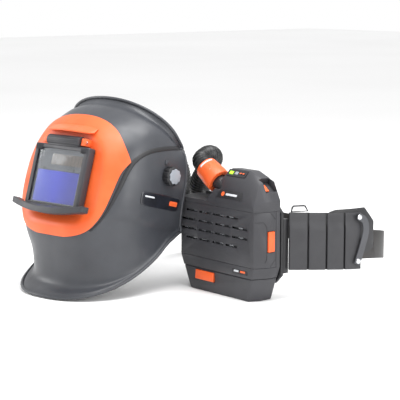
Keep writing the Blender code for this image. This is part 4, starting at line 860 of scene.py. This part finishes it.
belt_line = even_points(smooth_route([(x, y, 0) for x, y in BELT_ROUTE], 8), 80)[0]
HINGE_SHARE = 0.0115              # half the gap between two segments, as a share of the pad
for side, label in ((1, "right"), (-1, "left")):
    pad_plate("pad_backing_" + label, side, 0.0, 1.0, 0.0012, -0.0012, black_plastic, "hip_pad_" + label)
    for k in range(4):
        first = k / 4 + (HINGE_SHARE if k else 0.0)
        last = (k + 1) / 4 - (HINGE_SHARE if k < 3 else 0.0)
        name = "pad_segment_%s_%d" % (label, k + 1)
        pad_plate(name, side, first, last, 0.0035, 0.0025, pad_plastic)
    finer("strap_plate_" + label, black_plastic, "blower", 0.0005)
    finer("stay_" + label, stay_plastic, "blower", 0.0005)
    finer("strap_" + label, hide, "blower", 0.0006, sharp=50.0)
    stay_skin = BVHTree.FromBMesh(merged_copy("stay_" + label))
    low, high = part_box("stay_" + label)
    for end, along, up in (("top", 0.30, 0.925), ("foot", 0.26, 0.085)):
        spot = Vector((side * 0.3, low.y + (high.y - low.y) * along, low.z + (high.z - low.z) * up))
        hit, normal, _, _ = stay_skin.ray_cast(spot, Vector((-side, 0, 0)))
        if hit is None:
            continue
        out = normal if normal.x * side > 0 else -normal
        seat = aimed(hit + out * 0.0008, out)
        head = round_bar(0.0046, 0.0016, seat, segments=28, top=0.0036, bevel=0.0005)
        piece_from("rivet_%s_%s" % (end, label), head, bright_steel, "blower")

finer("buckle_frame", bright_steel, "blower", 0.0009, sharp=50.0)
low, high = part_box("buckle_frame")
middle = (low + high) / 2
prong_line = [Vector((high.x - 0.0030, high.y - 0.0012, middle.z)),
              Vector((middle.x, high.y - 0.0006, middle.z)),
              Vector((low.x + 0.0030, high.y - 0.0012, middle.z))]
prong = rod("buckle_prong", prong_line, 0.0012, bright_steel, "blower")

# ---------------------------------------------------------------- headgear
# Black polypropylene headband and crown straps on a nape ratchet, the side arms that carry the
# tilt axis, and the flat duct that brings air over the head from the hose.
strap_plastic = moulded("moulded_polypropylene", "242528", "1F2023", "2A2B2E", 0.48, 1.0, 0.08)
for node in ("headband", "crown_strap_side", "crown_strap_front", "side_arm_right", "side_arm_left"):
    finer(node, strap_plastic, "blower", 0.0005)
finer("ratchet_housing", strap_plastic, "blower", 0.0006)
finer("ratchet_knob", black_plastic, "ratchet_knob", 0.0004, sharp=40.0)
finer("air_duct", black_plastic, "blower", 0.0010)
finer("duct_inlet", charcoal_plastic, "blower", 0.0006, sharp=40.0)


def woven(name, dark, light, thread_mm, roughness):
    """Plain weave: two crossed sets of threads, raised a little, with uneven dye."""
    made, tree, shader = new_material(name, light, roughness, Sheen_Weight=0.35, Sheen_Roughness=0.5)
    place = add(tree, "ShaderNodeTexCoord").outputs["Object"]
    heights = []
    for way in ('X', 'Z'):
        threads = add(tree, "ShaderNodeTexWave", {"Scale": 314.0 / thread_mm / 2.0, "bands_direction": way},
                      Vector=place)
        heights.append(threads.outputs["Fac"])
    crossed = add(tree, "ShaderNodeMath", {"operation": 'MAXIMUM'})
    for k, height in enumerate(heights):
        tree.links.new(height, crossed.inputs[k])
    raised = add(tree, "ShaderNodeBump", {"Strength": 0.5, "Distance": 0.0003},
                 Height=crossed.outputs["Value"])
    tree.links.new(raised.outputs["Normal"], shader.inputs["Normal"])
    dye = add(tree, "ShaderNodeTexNoise", {"Scale": 35.0, "Detail": 4.0}, Vector=place)
    tree.links.new(shades(tree, dye.outputs["Fac"], (0.3, dark), (0.7, light)), shader.inputs["Base Color"])
    return made


def soft_copy(node, finish, body, puff, folds):
    """A padded piece in its CAD solid's place: rounded, subdivided and puckered inwards."""
    made = merged_copy(node, 0.0012, 2)
    bmesh.ops.triangulate(made, faces=made.faces)
    bmesh.ops.subdivide_edges(made, edges=made.edges, cuts=1, use_grid_fill=True)
    bmesh.ops.smooth_vert(made, verts=made.verts, factor=0.4, use_axis_x=True, use_axis_y=True,
                          use_axis_z=True)
    made.normal_update()
    for vert in made.verts:
        wave = math.sin(vert.co.x * folds) * math.sin(vert.co.y * folds * 0.8 + 1.0)
        vert.co -= vert.normal * puff * (0.5 + 0.5 * wave)
    bmesh.ops.recalc_face_normals(made, faces=made.faces)
    piece = piece_from(node + "_cushion", made, finish, body, node, sharp=70.0)


terry = woven("brushed_cotton_terry", "222326", "2F3034", 0.9, 0.92)
seal_cloth = woven("flame_retardant_cotton", "121213", "1E1E20", 0.8, 0.88)
open_foam = woven("open_cell_foam", "3A3B3E", "4A4B4F", 1.2, 0.95)
soft_copy("sweatband", terry, "blower", 0.0004, 420.0)
soft_copy("face_seal", seal_cloth, "shield", 0.0010, 260.0)
soft_copy("prefilter", open_foam, "blower", 0.0002, 500.0)

# ---------------------------------------------------------------- inside the helmet and the blower
# What the covers hide: lens clamp, bolts and pin, and the filter, fan, battery and electronics.
finer("visor_clamp", black_plastic, "shield", 0.0005)
repaint(bright_steel, "spark_arrestor", "flip_pin", "tilt_bolt_right", "tilt_bolt_left", "fan_motor")
repaint(black_plastic, "battery_lid", "fan_casing", "outlet_socket", "filter_gasket")
repaint(cap_plastic, "fan_impeller")

# Glass-fibre filter paper in tight pleats, off-white and quite matt.
filter_paper, tree, shader = new_material("pleated_glass_paper", "DAD8CE", 0.93)
place = add(tree, "ShaderNodeTexCoord").outputs["Object"]
fibre = add(tree, "ShaderNodeTexNoise", {"Scale": 700.0, "Detail": 6.0}, Vector=place)
tree.links.new(shades(tree, fibre.outputs["Fac"], (0.3, "CBC9BE"), (0.7, "E6E4DB")),
               shader.inputs["Base Color"])
repaint(filter_paper, "particle_filter")

# Circuit board: green solder resist over copper that shows as slightly lighter tracks.
solder_resist, tree, shader = new_material("green_solder_resist", "0F5A2B", 0.30, Coat_Weight=0.4)
place = add(tree, "ShaderNodeTexCoord").outputs["Object"]
tracks = add(tree, "ShaderNodeTexBrick", {"Scale": 160.0}, Vector=place)
tree.links.new(shades(tree, tracks.outputs["Fac"], (0.2, "0D5226"), (0.8, "1C7A3E")),
               shader.inputs["Base Color"])
repaint(solder_resist, "circuit_board")

# Shrink sleeve round the cells: glossy blue film with faint wrinkles.
shrink_sleeve, tree, shader = new_material("pvc_shrink_sleeve", "1E4C8F", 0.28)
place = add(tree, "ShaderNodeTexCoord").outputs["Object"]
wrinkle = add(tree, "ShaderNodeTexNoise", {"Scale": 120.0, "Detail": 4.0}, Vector=place)
tree.links.new(shades(tree, wrinkle.outputs["Fac"], (0.3, "1A4380"), (0.7, "28599F")),
               shader.inputs["Base Color"])
creased = add(tree, "ShaderNodeBump", {"Strength": 0.3, "Distance": 0.0003}, Height=wrinkle.outputs["Fac"])
tree.links.new(creased.outputs["Normal"], shader.inputs["Normal"])
repaint(shrink_sleeve, "battery_cells")
